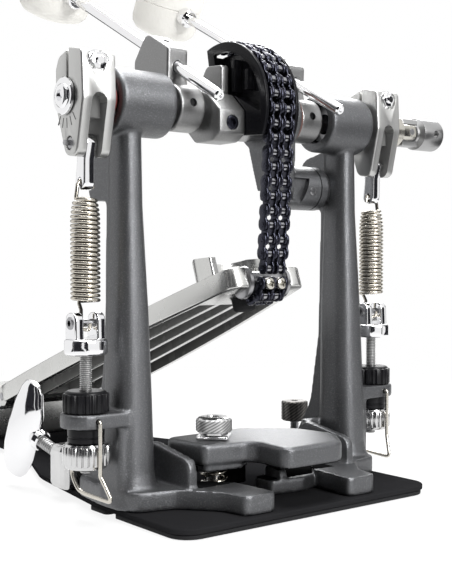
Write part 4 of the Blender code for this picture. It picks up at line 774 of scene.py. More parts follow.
def make_rocker(side, name, body):
    left, right = SPRING_X - FORK_HALF, SPRING_X + FORK_HALF
    bolt_at = (SPRING_X, AXLE + 17)
    outline = [(-15.5, 22, 3), (-3, 24.5, 4), (8, 21, 5), (11, 15, 5), (11, -4, 8), (1, -30, 5),
               (-10, -31.5, 5), (-16.8, -2, 8)]
    rocker = raw(f"dressed_{name}_rocker", sided(slab("X", on_axle(outline), 95, 115, 1.0, 6), side))
    cutters = [slab("Y", oblong(left, AXLE - 60, right, AXLE - 11), -40, 40),
               slab("Y", oblong(left, AXLE - 20, right, AXLE + 1, 0, 4.4), -40, -9.5), axle_hole(90, 120),
               slab("X", oblong(-2.7, AXLE, -0.5, AXLE + 40), 90, 120),
               drill("Y", 6.4, -40, -11.5, bolt_at, 48), drill("X", 3.7, 112.8, 120, LINK_AT)]
    carve(rocker, [sided(cutter, side) for cutter in cutters])
    dress(bevelled(rocker, 0.35), ALLOY, body, f"{name}_rocker", slot="alloy")
    # Painted shade inside the fork.
    shade_inside(rocker, in_fork, 0.85)
    head = turned("X", [(112.9, 3.2), (114.2, 3.2), (114.6, 2.8)], LINK_AT, 32)
    pin = piece(f"{name}_rocker_pin", gather(drill("X", 2.5, 95.6, 113.4, LINK_AT), head), STEEL, body,
                slot="steel", side=side)
    carve(pin, [sided(slab("X", hexagon(1.5, LINK_AT), 113.6, 118), side)])
    flange = turned("Y", [(-13.4, 4.4), (-12.4, 6), (-11.6, 6)], bolt_at, 40)
    nut = slab("Y", hexagon(5, bolt_at, radius=0.3), -16.6, -13, 0.5)
    end = turned("Y", [(-18.2, 1.9), (-17.6, 2.5), (9, 2.5)], bolt_at, 32)
    piece(f"dressed_{name}_rocker_bolt", gather(flange, nut, end), CHROME, body, f"{name}_rocker_bolt",
          slot="chrome", side=side)
    lines = []
    for k in range(5):
        ray = radians(-90 + (k - 2) * 17) - 0.06
        out, across = Vector((cos(ray), sin(ray))), Vector((-sin(ray), cos(ray))) * 0.28
        corners = [out * 11.2 - across, out * 16.2 - across, out * 16.2 + across, out * 11.2 + across]
        lines.append(slab("X", [(c.x, c.y + AXLE, 0) for c in corners], 114.6, 115.06))
    piece(f"{name}_rocker_marks", gather(*lines), DARK, body, slot="black", side=side)


for side, name, body in SIDES:
    make_rocker(side, name, body)

# %% [markdown]
# ## Hubs and beaters
# The hub is cast: a collar on the axle and a slanted block with the beater's channel. It is drawn with
# the beater upright and then swung back by sixty-two degrees to where it rests.

# %% Hubs and beaters
REST = -62.0
HUB_X, ROD_Y = 43.75, -19.3
ROD_LOW, ROD_HIGH = AXLE - 31, AXLE + 150
HEAD_Z = ROD_HIGH + 15


def at_rest(bm):
    return turn(bm, REST, (0, 0, AXLE))


def make_hub(side, name, body):
    block = [(-28.5, 17, 2), (-28.5, 42, 6), (-10, 46, 3), (6, 38, 8), (12, 6, 3), (8, -9, 3),
             (-9, -8, 3), (-11.5, 9, 6)]
    shapes = [at_rest(slab("X", on_axle(block), 37, 50.5, 1.0)),
              shaft("X", 13, 35.5, 52, (0, AXLE), 0.8, 64)]
    slot = oblong(HUB_X - 4.4, AXLE + 33, HUB_X + 4.4, AXLE + 70, 1, 0)
    cutters = [at_rest(drill("Z", 3.5, AXLE - 60, AXLE + 90, (HUB_X, ROD_Y))),
               at_rest(slab("Y", slot, -13, -2)),
               at_rest(drill("Y", 2.2, -40, -19, (HUB_X, AXLE + 30), 24)),
               axle_hole(30, 60), drill("Y", 2.3, -20, -8, (HUB_X, AXLE + 2))]
    casting(f"dressed_{name}_hub", shapes, HUB_CAST, body, f"{name}_hub", slot="alloy", voxel=0.55,
            passes=3, cutters=cutters, side=side)
    grub = turned("Y", [(-11, 1.9), (-10.6, 2.2), (-7, 2.2)], (HUB_X, AXLE + 2), 24)
    piece(f"{name}_hub_grub", grub, DARK, body, slot="black", side=side)


def make_beater(side, name):
    body = f"{name}_beater"
    rod = turned("Z", [(ROD_LOW + 1.2, 0.9), (ROD_LOW, 1.3), (ROD_LOW, 2.3),
                       (ROD_LOW + 0.9, 3.2), (ROD_HIGH, 3.2)], (HUB_X, ROD_Y), 40)
    piece(f"dressed_{name}_rod", at_rest(rod), CHROME, body, f"{name}_beater_rod", slot="chrome", side=side)
    felt = [(-20, 13), (-18.6, 18), (-15, 21.8), (-11, 23), (-3, 23), (-2.4, 22.5), (-1.8, 23),
            (11, 23), (15, 22), (18.2, 19), (20, 13.5)]
    head = turned("Y", [(a + ROD_Y, r) for a, r in felt], (HUB_X, HEAD_Z), 72)
    piece(f"dressed_{name}_head", at_rest(head), FELT, body, f"{name}_beater_head", slot="felt", side=side)
    sleeve = ((-29, 3.1), (-29, 5), (-28, 6), (-22.4, 6.6), (-22.4, 3.1), (-29, 3.1))
    ferrule = turned("Z", [(HEAD_Z + a, r) for a, r in sleeve], (HUB_X, ROD_Y), 40)
    piece(f"{name}_ferrule", at_rest(ferrule), CHROME, body, slot="chrome", side=side)


for side, name, body in SIDES:
    make_hub(side, name, body)
    make_beater(side, name)

# %% [markdown]
# ## Cam and its holder
# The cam is a short drum between two rims, black and glossy. Its outer face is hollow, so that only the
# rim and two ribs stand out. A bright block beside it clamps it on the axle with a socket screw.

# %% Cam
CAM_LOW, CAM_HIGH, CAM_RIM = -14.0, 10.0, 2.4
CAM_FIRST, CAM_LAST, CAM_STEPS = -24, 112, 44


def cam_point(angle, rise=0.0):
    """A point of the rim; its radius grows slowly with the angle."""
    reach = 36 + 0.02 * angle + rise
    return Vector((-reach * cos(radians(angle)), AXLE + reach * sin(radians(angle))))


def cam_outline(rise):
    angles = [CAM_FIRST + (CAM_LAST - CAM_FIRST) * k / CAM_STEPS for k in range(CAM_STEPS + 1)]
    arc = [cam_point(angle, rise) for angle in angles]
    return [(*p, 0) for p in arc] + on_axle([(13, 26, 0), (13, -6, 0), (8, -14, 0), (-14, -14, 0)])


cam = raw("dressed_cam", slab("X", cam_outline(CAM_RIM), CAM_LOW, CAM_LOW + CAM_RIM, 0.6))
carve(cam, [slab("X", cam_outline(-4.2), CAM_LOW + 1, CAM_HIGH - 1),
            slab("X", cam_outline(CAM_RIM), CAM_HIGH - CAM_RIM, CAM_HIGH, 0.6)], "UNION")
pocket = [(*cam_point(a, -3.2), 0) for a in range(-4, 105, 4)] + on_axle([(4, 13, 2), (-12, 8, 2)])
carve(cam, [slab("X", pocket, -30, CAM_LOW + 6.5), axle_hole(-30, 30)])
dress(cam, CAM_GLOSS, "main_shaft", "cam", slot="gloss")
ribs = [slab("X", oblong(a, AXLE + 11, a + 3.4, AXLE + top), CAM_LOW + 0.8, CAM_LOW + 7, 0.5)
        for a, top in ((-22, 22.5), (-10, 29))]
piece("cam_ribs", gather(*ribs), CAM_GLOSS, "main_shaft", slot="gloss")

# %% Cam holder
CAM_SCREW = (-23.4, AXLE - 8)

holder = [(-21, -14, 2), (-21, -1, 2), (-10, 9, 3), (8, 12, 5), (14, 6, 4), (13, -8, 5), (2, -18, 4),
          (-14, -18, 5)]
piece("dressed_cam_holder", slab("X", on_axle(holder), -32.5, -14.3, 1.2), HUB_CAST, "main_shaft",
      "cam_holder", slot="alloy", cutters=[drill("Y", 4.2, -40, -18.2, CAM_SCREW, 40), axle_hole(-50, 0)])
cap = turned("Y", [(-21.4, 3.2), (-20.8, 3.8), (-18, 3.8)], CAM_SCREW, 40)
piece("cam_screw", cap, CHAIN_BLUE, "main_shaft", slot="chain",
      cutters=[slab("Y", hexagon(2.2, CAM_SCREW), -30, -19.4)])
cheek = on_axle([(-6, 6, 1), (-6, 26, 2), (8, 27, 4), (13, 20, 3), (13, 4, 1)])
piece("cam_cheek", slab("X", cheek, -19.5, -14.3, 0.8), HUB_CAST, "main_shaft", slot="alloy")

# %% [markdown]
# ## Roller chain
# A double roller chain has outer links with three plates and inner links with four, and a roller on every
# pin in each of its two rows. The pins stand one pitch apart, straight up from the toe and then round the
# cam. One plate is modelled and laid along each link; the lengths ride on the bodies they belong to.

# %% Where the pins stand
PITCH = 8.0
CHAIN_X = -2.0
SLOPE = radians(19.8)
HINGE = Vector((222, 38))
BOARD_LENGTH = 264.0
TOE = HINGE + Vector((-cos(SLOPE), sin(SLOPE))) * BOARD_LENGTH
FOOT = TOE + Vector((-3.1, 4.6))
PINS_ON_CAM = 9


def chain_pins():
    """Pins up the straight run to where it touches the cam, and then round the rim."""
    touch = min(range(-200, 400), key=lambda a: (cam_point(a / 10) - FOOT).angle(Vector((-1, 0)))) / 10
    straight = cam_point(touch) - FOOT
    run = int(straight.length / PITCH)
    pins = [FOOT + straight.normalized() * PITCH * k for k in range(run + 1)]
    angle = touch
    while len(pins) <= run + PINS_ON_CAM:
        while (cam_point(angle) - pins[-1]).length < PITCH:
            angle += 0.02
        pins.append(cam_point(angle))
    return pins, run


pins, run = chain_pins()
print("chain pins", len(pins), "of them on the run", run + 1)

# %% Chain
OUTER_PLATES = ((7.5, 8.8), (-8.8, -7.5), (-0.8, 0.8))
INNER_PLATES = ((5.9, 7.2), (-7.2, -5.9), (1.1, 2.3), (-2.3, -1.1))
ROLLERS = ((2.4, 5.8), (-5.8, -2.4))
PIN_PROFILE = ((-9.3, 1.1), (-8.9, 1.6), (8.9, 1.6), (9.3, 1.1))
LINK_HALF, LINK_WAIST = 3.4, 2.2
WRAP_REACH = 9.7


def link_plate(start, end, low, high):
    half, waist, far = LINK_HALF, LINK_WAIST, PITCH + LINK_HALF
    shape = [(-half, -half, 3.1), (2, -half, 2), (4, -waist, 2), (6, -half, 2), (far, -half, 3.1),
             (far, half, 3.1), (6, half, 2), (4, waist, 2), (2, half, 2), (-half, half, 3.1)]
    plate = slab("X", shape, CHAIN_X + low, CHAIN_X + high, 0.3, 3, 2)
    along = end - start
    turn(plate, degrees(atan2(along.y, along.x)), (0, 0, 0))
    bmesh.ops.translate(plate, verts=plate.verts, vec=Vector((0, start.x, start.y)) * MM)
    return plate


def chain_length(name, pins, first, body, ends=True):
    """The plates and rollers between some pins; the first pin is left to its neighbour without ends."""
    plates, bright = [], []
    for k, (start, end) in enumerate(zip(pins, pins[1:])):
        for low, high in (OUTER_PLATES if (first + k) % 2 else INNER_PLATES):
            plates.append(link_plate(start, end, low, high))
    for pin in pins if ends else pins[1:]:
        for low, high in ROLLERS:
            bright.append(shaft("X", 2.5, CHAIN_X + low, CHAIN_X + high, pin, 0.3, 20))
        plates.append(turned("X", [(CHAIN_X + a, r) for a, r in PIN_PROFILE], pin, 16))
    piece(f"dressed_{name}", gather(*plates), CHAIN_BLUE, body, name, slot="chain")
    piece(f"{name}_rollers", gather(*bright), ROLLER_BRIGHT, body, slot="steel")


stops = [run + 2 * k for k in range(4)]
chain_length("chain_run", pins[:run + 1], 0, "run")
for number, start in ((3, 0), (2, 1), (1, 2)):
    chain_length(f"chain_link_{number}", pins[stops[start]:stops[start + 1] + 1], stops[start],
                 f"link_{number}", ends=False)
chain_length("chain_wrap", pins[stops[3]:], stops[3], "main_shaft", ends=False)
boss_at = Vector((FOOT.x + WRAP_REACH, FOOT.y - PITCH))
step = 2 * asin(PITCH / 2 / WRAP_REACH)
tail = [boss_at + Vector((-cos(step * k), -sin(step * k))) * WRAP_REACH for k in range(3)]
chain_length("chain_tail", tail, 1, "board")

# %% [markdown]
# ## Chain anchor
# The end of the chain is folded round a cross boss between the prongs of the toe. Two small cross-head
# screws hold it, and round cheeks at both ends keep it in line.

# %% Chain anchor
SCREW_Z, SCREW_FRONT = FOOT.y - PITCH - 0.5, FOOT.x - 4.6
CROSS_TURNS = ((0.906, 0.423), (-0.423, 0.906))

anchor = turned("X", [(-17, 8.4), (-16.4, 9.2), (-14.4, 9.2), (-13.8, 8.4), (-13.8, 6), (9.8, 6),
                      (9.8, 8.4), (10.4, 9.2), (12.4, 9.2), (13, 8.4)], boss_at, 56)
piece("dressed_chain_clamp", anchor, STEEL, "board", "chain_clamp", slot="steel",
      cutters=[slab("X", hexagon(3, boss_at), *ends) for ends in ((-20, -15), (11, 20))])
head = ((0, 0), (0.1, 1.6), (0.7, 3.0), (1.6, 3.3), (2.4, 3.3), (8, 1.4))
for k, x in enumerate((CHAIN_X - 4.1, CHAIN_X + 4.1)):
    arms = [slab("Y", [(x + a * p - b * q, SCREW_Z + a * q + b * p, 0)
                       for a, b, _ in oblong(-0.45, -2.0, 0.45, 2.0)], SCREW_FRONT - 2, SCREW_FRONT + 1.3)
            for p, q in CROSS_TURNS]
    piece(f"chain_screw_{k + 1}", turned("Y", [(SCREW_FRONT + a, r) for a, r in head], (x, SCREW_Z), 40),
          NICKEL_PLATE, "board", slot="nickel", cutters=arms)

# %% [markdown]
# ## Bent wire
# A spring, a hook and a bail are round wire bent to shape. A curve through a few places, given a
# thickness and turned into a mesh, is wire straight away. A spring joins two bodies; its mesh is
# fixed where it is drawn and rides on neither.

# %% Wire tools
WIRE = 1.0


def wire(name, points, radius, order=3, detail=3):
    """A bent round wire: a curve through a few places, given thickness and made a mesh."""
    data = bpy.data.curves.new(name, "CURVE")
    data.dimensions = "3D"
    data.bevel_depth = radius * MM
    data.bevel_resolution = detail
    data.use_fill_caps = True
    data.resolution_u = 6
    line = data.splines.new("NURBS" if order > 2 else "POLY")
    line.points.add(len(points) - 1)
    for point, place in zip(line.points, points):
        point.co = (*(Vector(place) * MM), 1)
    if order > 2:
        line.order_u = order
        line.use_endpoint_u = True
    drawn = bpy.data.objects.new(name + "_path", data)
    scene.collection.objects.link(drawn)
    bpy.context.view_layer.update()
    mesh = bpy.data.meshes.new_from_object(drawn.evaluated_get(bpy.context.evaluated_depsgraph_get()))
    bpy.data.objects.remove(drawn)
    thing = bpy.data.objects.new(name, mesh)
    scene.collection.objects.link(thing)
    return thing


def spring_between(name, path, node, inside=None):
    """One unbroken wire for a spring, fixed where it is drawn, that stands for the spring's solid."""
    spring = wire(name, path, WIRE, order=2, detail=2)
    spring.data.materials.clear()
    spring.data.materials.append(NICKEL)
    spring.data.shade_smooth()
    # The marked faces of the wire get painted shade.
    if inside:
        shade_inside(spring, inside)
    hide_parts(node)
    measured(spring)
    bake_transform(spring)


# %% [markdown]
# ## Spring links and springs
# A curved chrome link hangs in each rocker's fork and holds the upper hook of the spring. The spring is
# one wire: a hook, twenty-three curls that draw in towards the top, and a second hook.

# %% Links and springs
EYE, CLEVIS_PIN = AXLE - 46, 104.0
HOOK = EYE + 3
COIL, DRAWN_IN, TURNS, TURN_STEPS = 6.8, 1.4, 22.75, 24


def make_link(side, name):
    arc = [radians(15 * k) for k in range(13)]
    outline = [(LINK_AT[0] + 5.6 * cos(t), LINK_AT[1] + 5.6 * sin(t), 0) for t in arc]
    outline.append((-6.4, HOOK + 11, 0))
    outline += [(SPRING_Y - 4.6 * cos(t), HOOK - 4.6 * sin(t), 0) for t in arc]
    outline.append((1.4, HOOK + 10, 0))
    piece(f"dressed_{name}_link", slab("X", outline, SPRING_X - 3.2, SPRING_X + 3.2, 0.8), CHROME,
          f"{name}_link", f"{name}_spring_link", slot="chrome", side=side,
          cutters=[drill("X", 2.7, 90, 120, LINK_AT), drill("X", 2.2, 90, 120, (SPRING_Y, HOOK))])


def make_spring(side, name):
    neck = COIL - DRAWN_IN
    low, high = CLEVIS_PIN + 11, EYE - 6
    total = round(TURNS * TURN_STEPS)
    curls = []
    for k in range(total + 1):
        angle = pi / 2 + 2 * pi * k / TURN_STEPS
        wide = COIL - DRAWN_IN * max(0, 1 - (total - k) / (4.5 * TURN_STEPS)) ** 1.5
        curls.append((wide * cos(angle), wide * sin(angle), low + (high - low) * k / total))
    bar = CLEVIS_PIN - 2 - WIRE - 0.3
    below = [(0, -4.6, bar + 3.2), (0, -4.4, bar + 1.4), (0, -3, bar), (0, 0, bar - 0.3), (0, 3, bar),
             (0, 4.4, bar + 1.4), (0, 4.6, bar + 4), (0, 4.6, low - 4.4), (0, COIL - 1.1, low - 2.6),
             (0, COIL - 0.2, low - 1.2)]
    above = [(neck - 0.1, 0, high + 1.2), (neck - 0.3, 0, high + 2.4), (4.7, 0, HOOK - 4),
             (4.4, 0, HOOK - 1.6), (3, 0, HOOK), (0, 0, HOOK + 0.3), (-3, 0, HOOK), (-4.4, 0, HOOK - 1.6),
             (-4.6, 0, HOOK - 3.6)]
    centre = (side * SPRING_X, SPRING_Y)
    path = [(side * (SPRING_X + a), SPRING_Y + b, c) for a, b, c in below + curls + above]
    # The side of the wire that faces the middle of the coil, where the coil shades itself, gets painted
    # shade.
    spring_between(f"dressed_{name}_spring", path, f"{name}_spring",
                   lambda at, out: (at.x - centre[0]) * out.x + (at.y - centre[1]) * out.y < -1.5)


print("each spring has", TURNS, "curls")

# %% [markdown]
# ## Tension rods and their nuts
# Below each spring a chrome clevis sits on a threaded rod. A black ribbed nut above the bracket sets the
# pull, a ribbed chrome nut below locks it, and a wire bail hangs from the bracket to catch that nut.

# %% Clevises
def thread(axis, radius, low, high, centre, pitch=1.0, depth=0.5, sides=28):
    """A rod with the close ridges of a screw thread."""
    core = radius - depth
    profile = [(low, core)]
    at = low
    while at + pitch <= high:
        profile += [(at + pitch * 0.25, core), (at + pitch * 0.5, radius), (at + pitch * 0.75, radius),
                    (at + pitch, core)]
        at += pitch
    bm = turned(axis, profile + [(high, core)], centre, sides)
    # The roots of the thread get painted shade.
    painted_shade = bm.verts.layers.float.new("painted_shade")
    for vert in bm.verts:
        off = vert.co / MM - lift(axis, *centre, 0)
        off -= AXES[axis] * off.dot(AXES[axis])
        vert[painted_shade] = 0.8 if off.length < radius - depth / 2 else 0.0
    return bm


def make_clevis(side, name):
    body, centre, at = f"{name}_rod", (SPRING_X, SPRING_Y), (SPRING_Y, CLEVIS_PIN)
    collar = slab("Z", hexagon(11.7, centre, 10, 2.0, 0.15), CLEVIS_PIN - 16.5, CLEVIS_PIN - 8, 1.6, 3)
    ear = [(SPRING_Y - 5.6, CLEVIS_PIN - 10, 0), (SPRING_Y + 5.6, CLEVIS_PIN - 10, 0),
           (SPRING_Y + 5, CLEVIS_PIN + 5.5, 4), (SPRING_Y - 5, CLEVIS_PIN + 5.5, 4)]
    ears = [slab("X", ear, SPRING_X + low, SPRING_X + low + 5, 0.9, 6) for low in (-9, 4)]
    piece(f"dressed_{name}_clevis", gather(collar, *ears), CHROME, body, f"{name}_clevis", slot="chrome",
          side=side)
    pin = ((-9.8, 2.9), (-9.4, 3.3), (-8.8, 3.3), (-8.8, 2), (8.8, 2), (8.8, 3.3), (9.4, 3.3),
           (9.8, 2.9))
    sockets = [slab("X", hexagon(1.7, at), SPRING_X + low, SPRING_X + high)
               for low, high in ((-12, -9), (9, 12))]
    piece(f"{name}_clevis_pin", turned("X", [(SPRING_X + a, r) for a, r in pin], at, 40), STEEL, body,
          slot="steel", cutters=sockets, side=side)
    piece(f"{name}_tension_thread", thread("Z", 3.2, 26, CLEVIS_PIN - 16, centre), KNURL_STEEL, body,
          slot="steel", smooth=60, side=side)


print("clevis pins at", CLEVIS_PIN, "mm")

# %% Nuts and bails
BAIL_FRONT, BAIL_BACK, BAIL_WIRE = -15.8, 13.0, 1.1


def make_nuts(side, name):
    centre = (SPRING_X, SPRING_Y)
    nut = ribbed((12.1, 12.1, 12.1, 11.3, 11.3), 22, 58, 67.6, centre, 0.5)
    top = turned("Z", [(67, 3.4), (67, 11), (68.4, 10.6), (69, 9.6), (69, 3.4), (67, 3.4)], centre, 64)
    piece(f"dressed_{name}_nut", gather(nut, top), BLACK_PLASTIC, f"{name}_nut", f"{name}_tension_nut",
          slot="black", smooth=30, side=side)
    bush = turned("Z", [(42, 3.4), (42, 9.1), (42.5, 9.6), (44.6, 9.6), (44.9, 9.2), (45.4, 9.2),
                        (45.7, 9.6), (49.2, 9.6), (49.7, 9.2), (49.7, 3.4), (42, 3.4)], centre, 64)
    piece(f"dressed_{name}_bush", bush, BLACK_PLASTIC, "frame", f"{name}_tension_bush", slot="black",
          side=side)
    grip = ribbed((12.4, 12.4, 12.2, 11.5, 12.2), 24, 30.6, 40.6, centre, 0.5)
    core = turned("Z", [(29, 3.4), (29, 10.6), (31, 11.6), (40.2, 11.6), (41.7, 10.8), (41.7, 3.4),
                        (29, 3.4)], centre, 64)
    piece(f"dressed_{name}_lock", gather(grip, core), STEEL_BRIGHT, f"{name}_lock", f"{name}_lock_nut",
          slot="chrome", smooth=30, side=side)


def make_bail(side, name):
    front, back, top = BAIL_FRONT, BAIL_BACK, BAIL_Z
    path = [(0, front + 4.4, top), (0, front + 1.6, top), (0, front, top), (0, front, top - 1.8),
            (0, front, 40), (0, front, 28), (0, front, 26), (-0.6, front - 0.9, 24.4),
            (-2.6, front - 4.2, 17), (-3, front - 5, 15), (-3, front - 4, 13.5), (-3, front - 1, 13.4),
            (-2, -4, 13.8), (-1, back - 6, 14.5), (-0.4, back - 2, 19), (0, back, 23), (0, back, 26),
            (0, back, 40), (0, back, top - 1.8), (0, back, top), (0, back - 1.6, top), (0, back - 4.4, top)]
    bail = wire(f"dressed_{name}_bail", [(side * (SPRING_X + a), y, z) for a, y, z in path], BAIL_WIRE)
    dress(bail, BAIL_STEEL, f"{name}_wire", f"{name}_bail", slot="nickel", smooth=60)


for side, name, _ in SIDES:
    for make in (make_link, make_spring, make_clevis, make_nuts, make_bail):
        make(side, name)

# %% [markdown]
# ## Drive coupling
# The right axle ends in a universal joint for the shaft of a second pedal: a yoke, a small cross and a
# socket whose prongs are sawn out of the same bar, which leaves the curved shoulders seen in the photo.

# %% Universal joint
CROSS_X = 135
PRONG = ((5.6, -5, 0), (8.9, -3.6, 1), (8.9, 3.6, 1), (5.6, 5, 0))
SOCKET_PRONG = ((-4.6, 5.6, 0), (-3.4, 8.9, 1), (3.4, 8.9, 1), (4.6, 5.6, 0))

yoke = turned("X", [(119, 5.9), (119, 8.8), (119.8, 9.7), (127.2, 9.7), (127.7, 9.2), (127.7, 5.9),
                    (119, 5.9)], (0, AXLE), 56)
prongs = [slab("X", on_axle([(s * a, b, r) for a, b, r in PRONG]), 126, 139.4, 0.6) for s in (-1, 1)]
piece("dressed_yoke", gather(yoke, *prongs), NICKEL_PLATE, "slave_shaft", "ujoint_yoke", slot="alloy")
cross = [shaft("Y", 2.4, -9, 9, (CROSS_X, AXLE), 0.4, 28),
         shaft("Z", 2.4, AXLE - 9, AXLE + 9, (CROSS_X, 0), 0.4, 28),
         slab("X", hexagon(5, (0, AXLE), 4, 1, pi / 4), 131.4, 138.6, 0.7)]
piece("dressed_cross", gather(*cross), STEEL, "cross", "ujoint_cross", slot="steel")
shell = turned("X", [(143, 6.6), (144.6, 7), (146.5, 10.2), (147.2, 10.4), (163.6, 10.4),
                     (164.4, 10.1), (165, 9.3)], (0, AXLE), 64)
socket = raw("dressed_socket", shell)
carve(socket, [slab("X", on_axle([(a, s * b, r) for a, b, r in SOCKET_PRONG]), 131, 146.5, 0.6)
               for s in (-1, 1)], "UNION")
carve(socket, [slab("X", hexagon(6, (0, AXLE)), 151, 175), drill("Y", 2.2, -20, -8, (157, AXLE), 28)])
dress(socket, SOCKET_STEEL, "socket", "ujoint_socket", slot="alloy")

# %% [markdown]
# ## Footboard
# The board is a thin alloy casting with two rails and three ribs under it, and it narrows towards the toe.
# It is drawn flat, with long channels cut from below, and then tilted up about the heel's hinge.

# %% Footboard
BOARD_TOP, RAIL_DROP = 6.0, -6.0
BOARD_START, CHANNEL_START, CHANNEL_END = 10, 24, 232
NOTCH_HALF, NOTCH_DEPTH = 15.3, 17
TOE_Y = HINGE.x - BOARD_LENGTH
PLAN_STEPS = 24


def board_half(along):
    """The half width of the board and the shift of its middle, at a distance from the hinge."""
    share = max(0.0, along - BOARD_START) / (BOARD_LENGTH - BOARD_START)
    return 48 - 22 * share ** 2.1, CHAIN_X * share


def board_line(share, inset, first, last, steps=14):
    """Points along the board at a share of its half width, moved in by an inset."""
    points = []
    for k in range(steps + 1):
        along = first + (last - first) * k / steps
        half, shift = board_half(along)
        points.append((shift + share * half + inset, HINGE.x - along, 0))
    return points


def tilt(bm):
    return turn(bm, -degrees(SLOPE), (0, HINGE.x, HINGE.y))


def channel(left, left_inset, right, right_inset):
    outline = (board_line(left, left_inset, CHANNEL_START, CHANNEL_END)
               + board_line(right, right_inset, CHANNEL_START, CHANNEL_END)[::-1])
    return tilt(slab("Z", outline, HINGE.y - 30, HINGE.y + 2))


plan = (board_line(-1, 0, BOARD_START, BOARD_LENGTH, PLAN_STEPS)
        + board_line(1, 0, BOARD_START, BOARD_LENGTH, PLAN_STEPS)[::-1])
for corner in (PLAN_STEPS, PLAN_STEPS + 1):
    plan[corner] = (*plan[corner][:2], 7)
board = raw("dressed_footboard", tilt(slab("Z", plan, HINGE.y + RAIL_DROP, HINGE.y + BOARD_TOP, 1.0)))
notch = oblong(CHAIN_X - NOTCH_HALF, TOE_Y - 9, CHAIN_X + NOTCH_HALF, TOE_Y + NOTCH_DEPTH, 0, 3)
channels = [channel(-1, 4, -0.46, -1.8), channel(-0.46, 1.8, 0, -1.8), channel(0, 1.8, 0.46, -1.8),
            channel(0.46, 1.8, 1, -4)]
carve(board, channels + [tilt(slab("Z", notch, HINGE.y - 40, HINGE.y + 40))])
bevelled(board, 0.7, 40)
neck = slab("X", [(222, 44.4, 0), (222, 35, 0), (208, 37.5, 0), (207, 47.4, 0)], -19.4, 19.4, 0.5)
carve(board, [hollow("X", 7, 2.9, -19.7, 19.7, HINGE, 0.5), neck], "UNION")
dress(board, BOARD_ALLOY, "board", "footboard", slot="alloy")

# %% Channel shading and treads
flat = Matrix.Rotation(SLOPE, 3, "X")


# Faces inside the channels under the board, where shade and dark reflection fall: they get painted shade.
def in_channel(at, out):
    spot = flat @ (at - Vector((0, *HINGE)))
    reach, shift = board_half(-spot.y)
    return (CHANNEL_START - 2 < -spot.y < CHANNEL_END + 2 and spot.z > -5.3 and (flat @ out).z < 0.5
            and abs(spot.x - shift) < reach - 2.5)


# Painted shade in the channels under the board.
shade_inside(board, in_channel, 0.85)
tread = [(HINGE.y + a, r) for a, r in ((5.8, 4), (6.5, 3.4))]
treads = []
for along in range(46, 199, 19):
    reach, shift = board_half(along)
    for share in (-0.6, -0.2, 0.2, 0.6):
        treads.append(tilt(turned("Z", tread, (shift + share * reach, HINGE.x - along), 20)))
print("treads", len(treads))
piece("board_treads", gather(*treads), BOARD_ALLOY, "board", slot="alloy")

# %% [markdown]
# ## Toe stop, bumper and heel
# The toe stop is a low rounded wall that keeps the foot off the chain; a slanted cut lowers it towards the
# drum. A rubber bumper under the toe meets the base. The heel is a hollow cast plate with two lugs for
# the hinge pin. All are slabs that are hollowed out and cut, as they would be milled.

# %% Toe stop and bumper
STOP_Y = TOE_Y + NOTCH_DEPTH
STOP_Z = HINGE.y + BOARD_TOP + 0.3

outer = oblong(CHAIN_X - 24, STOP_Y + 1, CHAIN_X + 24, STOP_Y + 31, 1, 20)
inner = oblong(CHAIN_X - 20, STOP_Y - 9, CHAIN_X + 20, STOP_Y + 27, 0, 17)
slant = [(STOP_Y - 30, STOP_Z + 3), (STOP_Y + 24, STOP_Z + 18), (STOP_Y + 24, STOP_Z + 40),
         (STOP_Y - 30, STOP_Z + 40)]
stop = raw("dressed_toe_stop", tilt(slab("Z", outer, STOP_Z, STOP_Z + 16.5, 1.2, 12)))
carve(stop, [tilt(slab("Z", inner, STOP_Z + 2.5, STOP_Z + 30, 0, 12))])
carve(stop, [tilt(slab("X", slant, -60, 60))])
dress(bevelled(stop, 0.5), BOARD_ALLOY, "board", "toe_stop", slot="alloy")
pad = slab("Z", oblong(-9, STOP_Y + 4, 5, STOP_Y + 14, 4.6), HINGE.y - 11.9, HINGE.y - 3.9, 2.2, 5)
piece("dressed_bumper", tilt(pad), RUBBER, "board", "board_bumper", slot="rubber")

# %% Heel
heel_outer = [(-46, 231, 4), (46, 231, 4), (42, 297, 16), (-42, 297, 16)]
heel_inner = [(-42, 235, 3), (42, 235, 3), (38, 293, 12), (-38, 293, 12)]
lug = [(222, 31.8, 0), (234, 26, 0), (234, 37.5, 0), (222, 39, 0)]
heel = raw("dressed_heel", slab("Z", heel_outer, FOOT_LOW, 40, 3.0, 8))
carve(heel, [slab("Z", heel_inner, -5, 36)])
knuckles = [hollow("X", 7, 2.9, *sorted((s * 20, s * 44)), HINGE, 0.5) for s in (-1, 1)]
lugs = [slab("X", lug, *sorted((s * 20.3, s * 43.7)), 0.4) for s in (-1, 1)]
carve(heel, knuckles + lugs, "UNION")
carve(heel, [drill("X", 2.9, -60, 60, HINGE)])
dress(heel, BOARD_ALLOY, "frame", "heel_plate", slot="alloy")
piece("dressed_hinge_pin", shaft("X", 2.6, -44.5, 44.5, HINGE, 0.4, 32), STEEL, "frame", "heel_hinge_pin",
      slot="steel")

# %% [markdown]
# ## Hoop clamp
# The drum's hoop is held between the toes of the feet and a cast jaw. A knurled bolt with a square washer
# pulls the jaw down against a light spring. Knurling is a net of small pyramids: every other point of a
# finely divided cylinder is pushed in.

# %% Jaw and washer
BOLT_AT = (-31.0, -14.0)

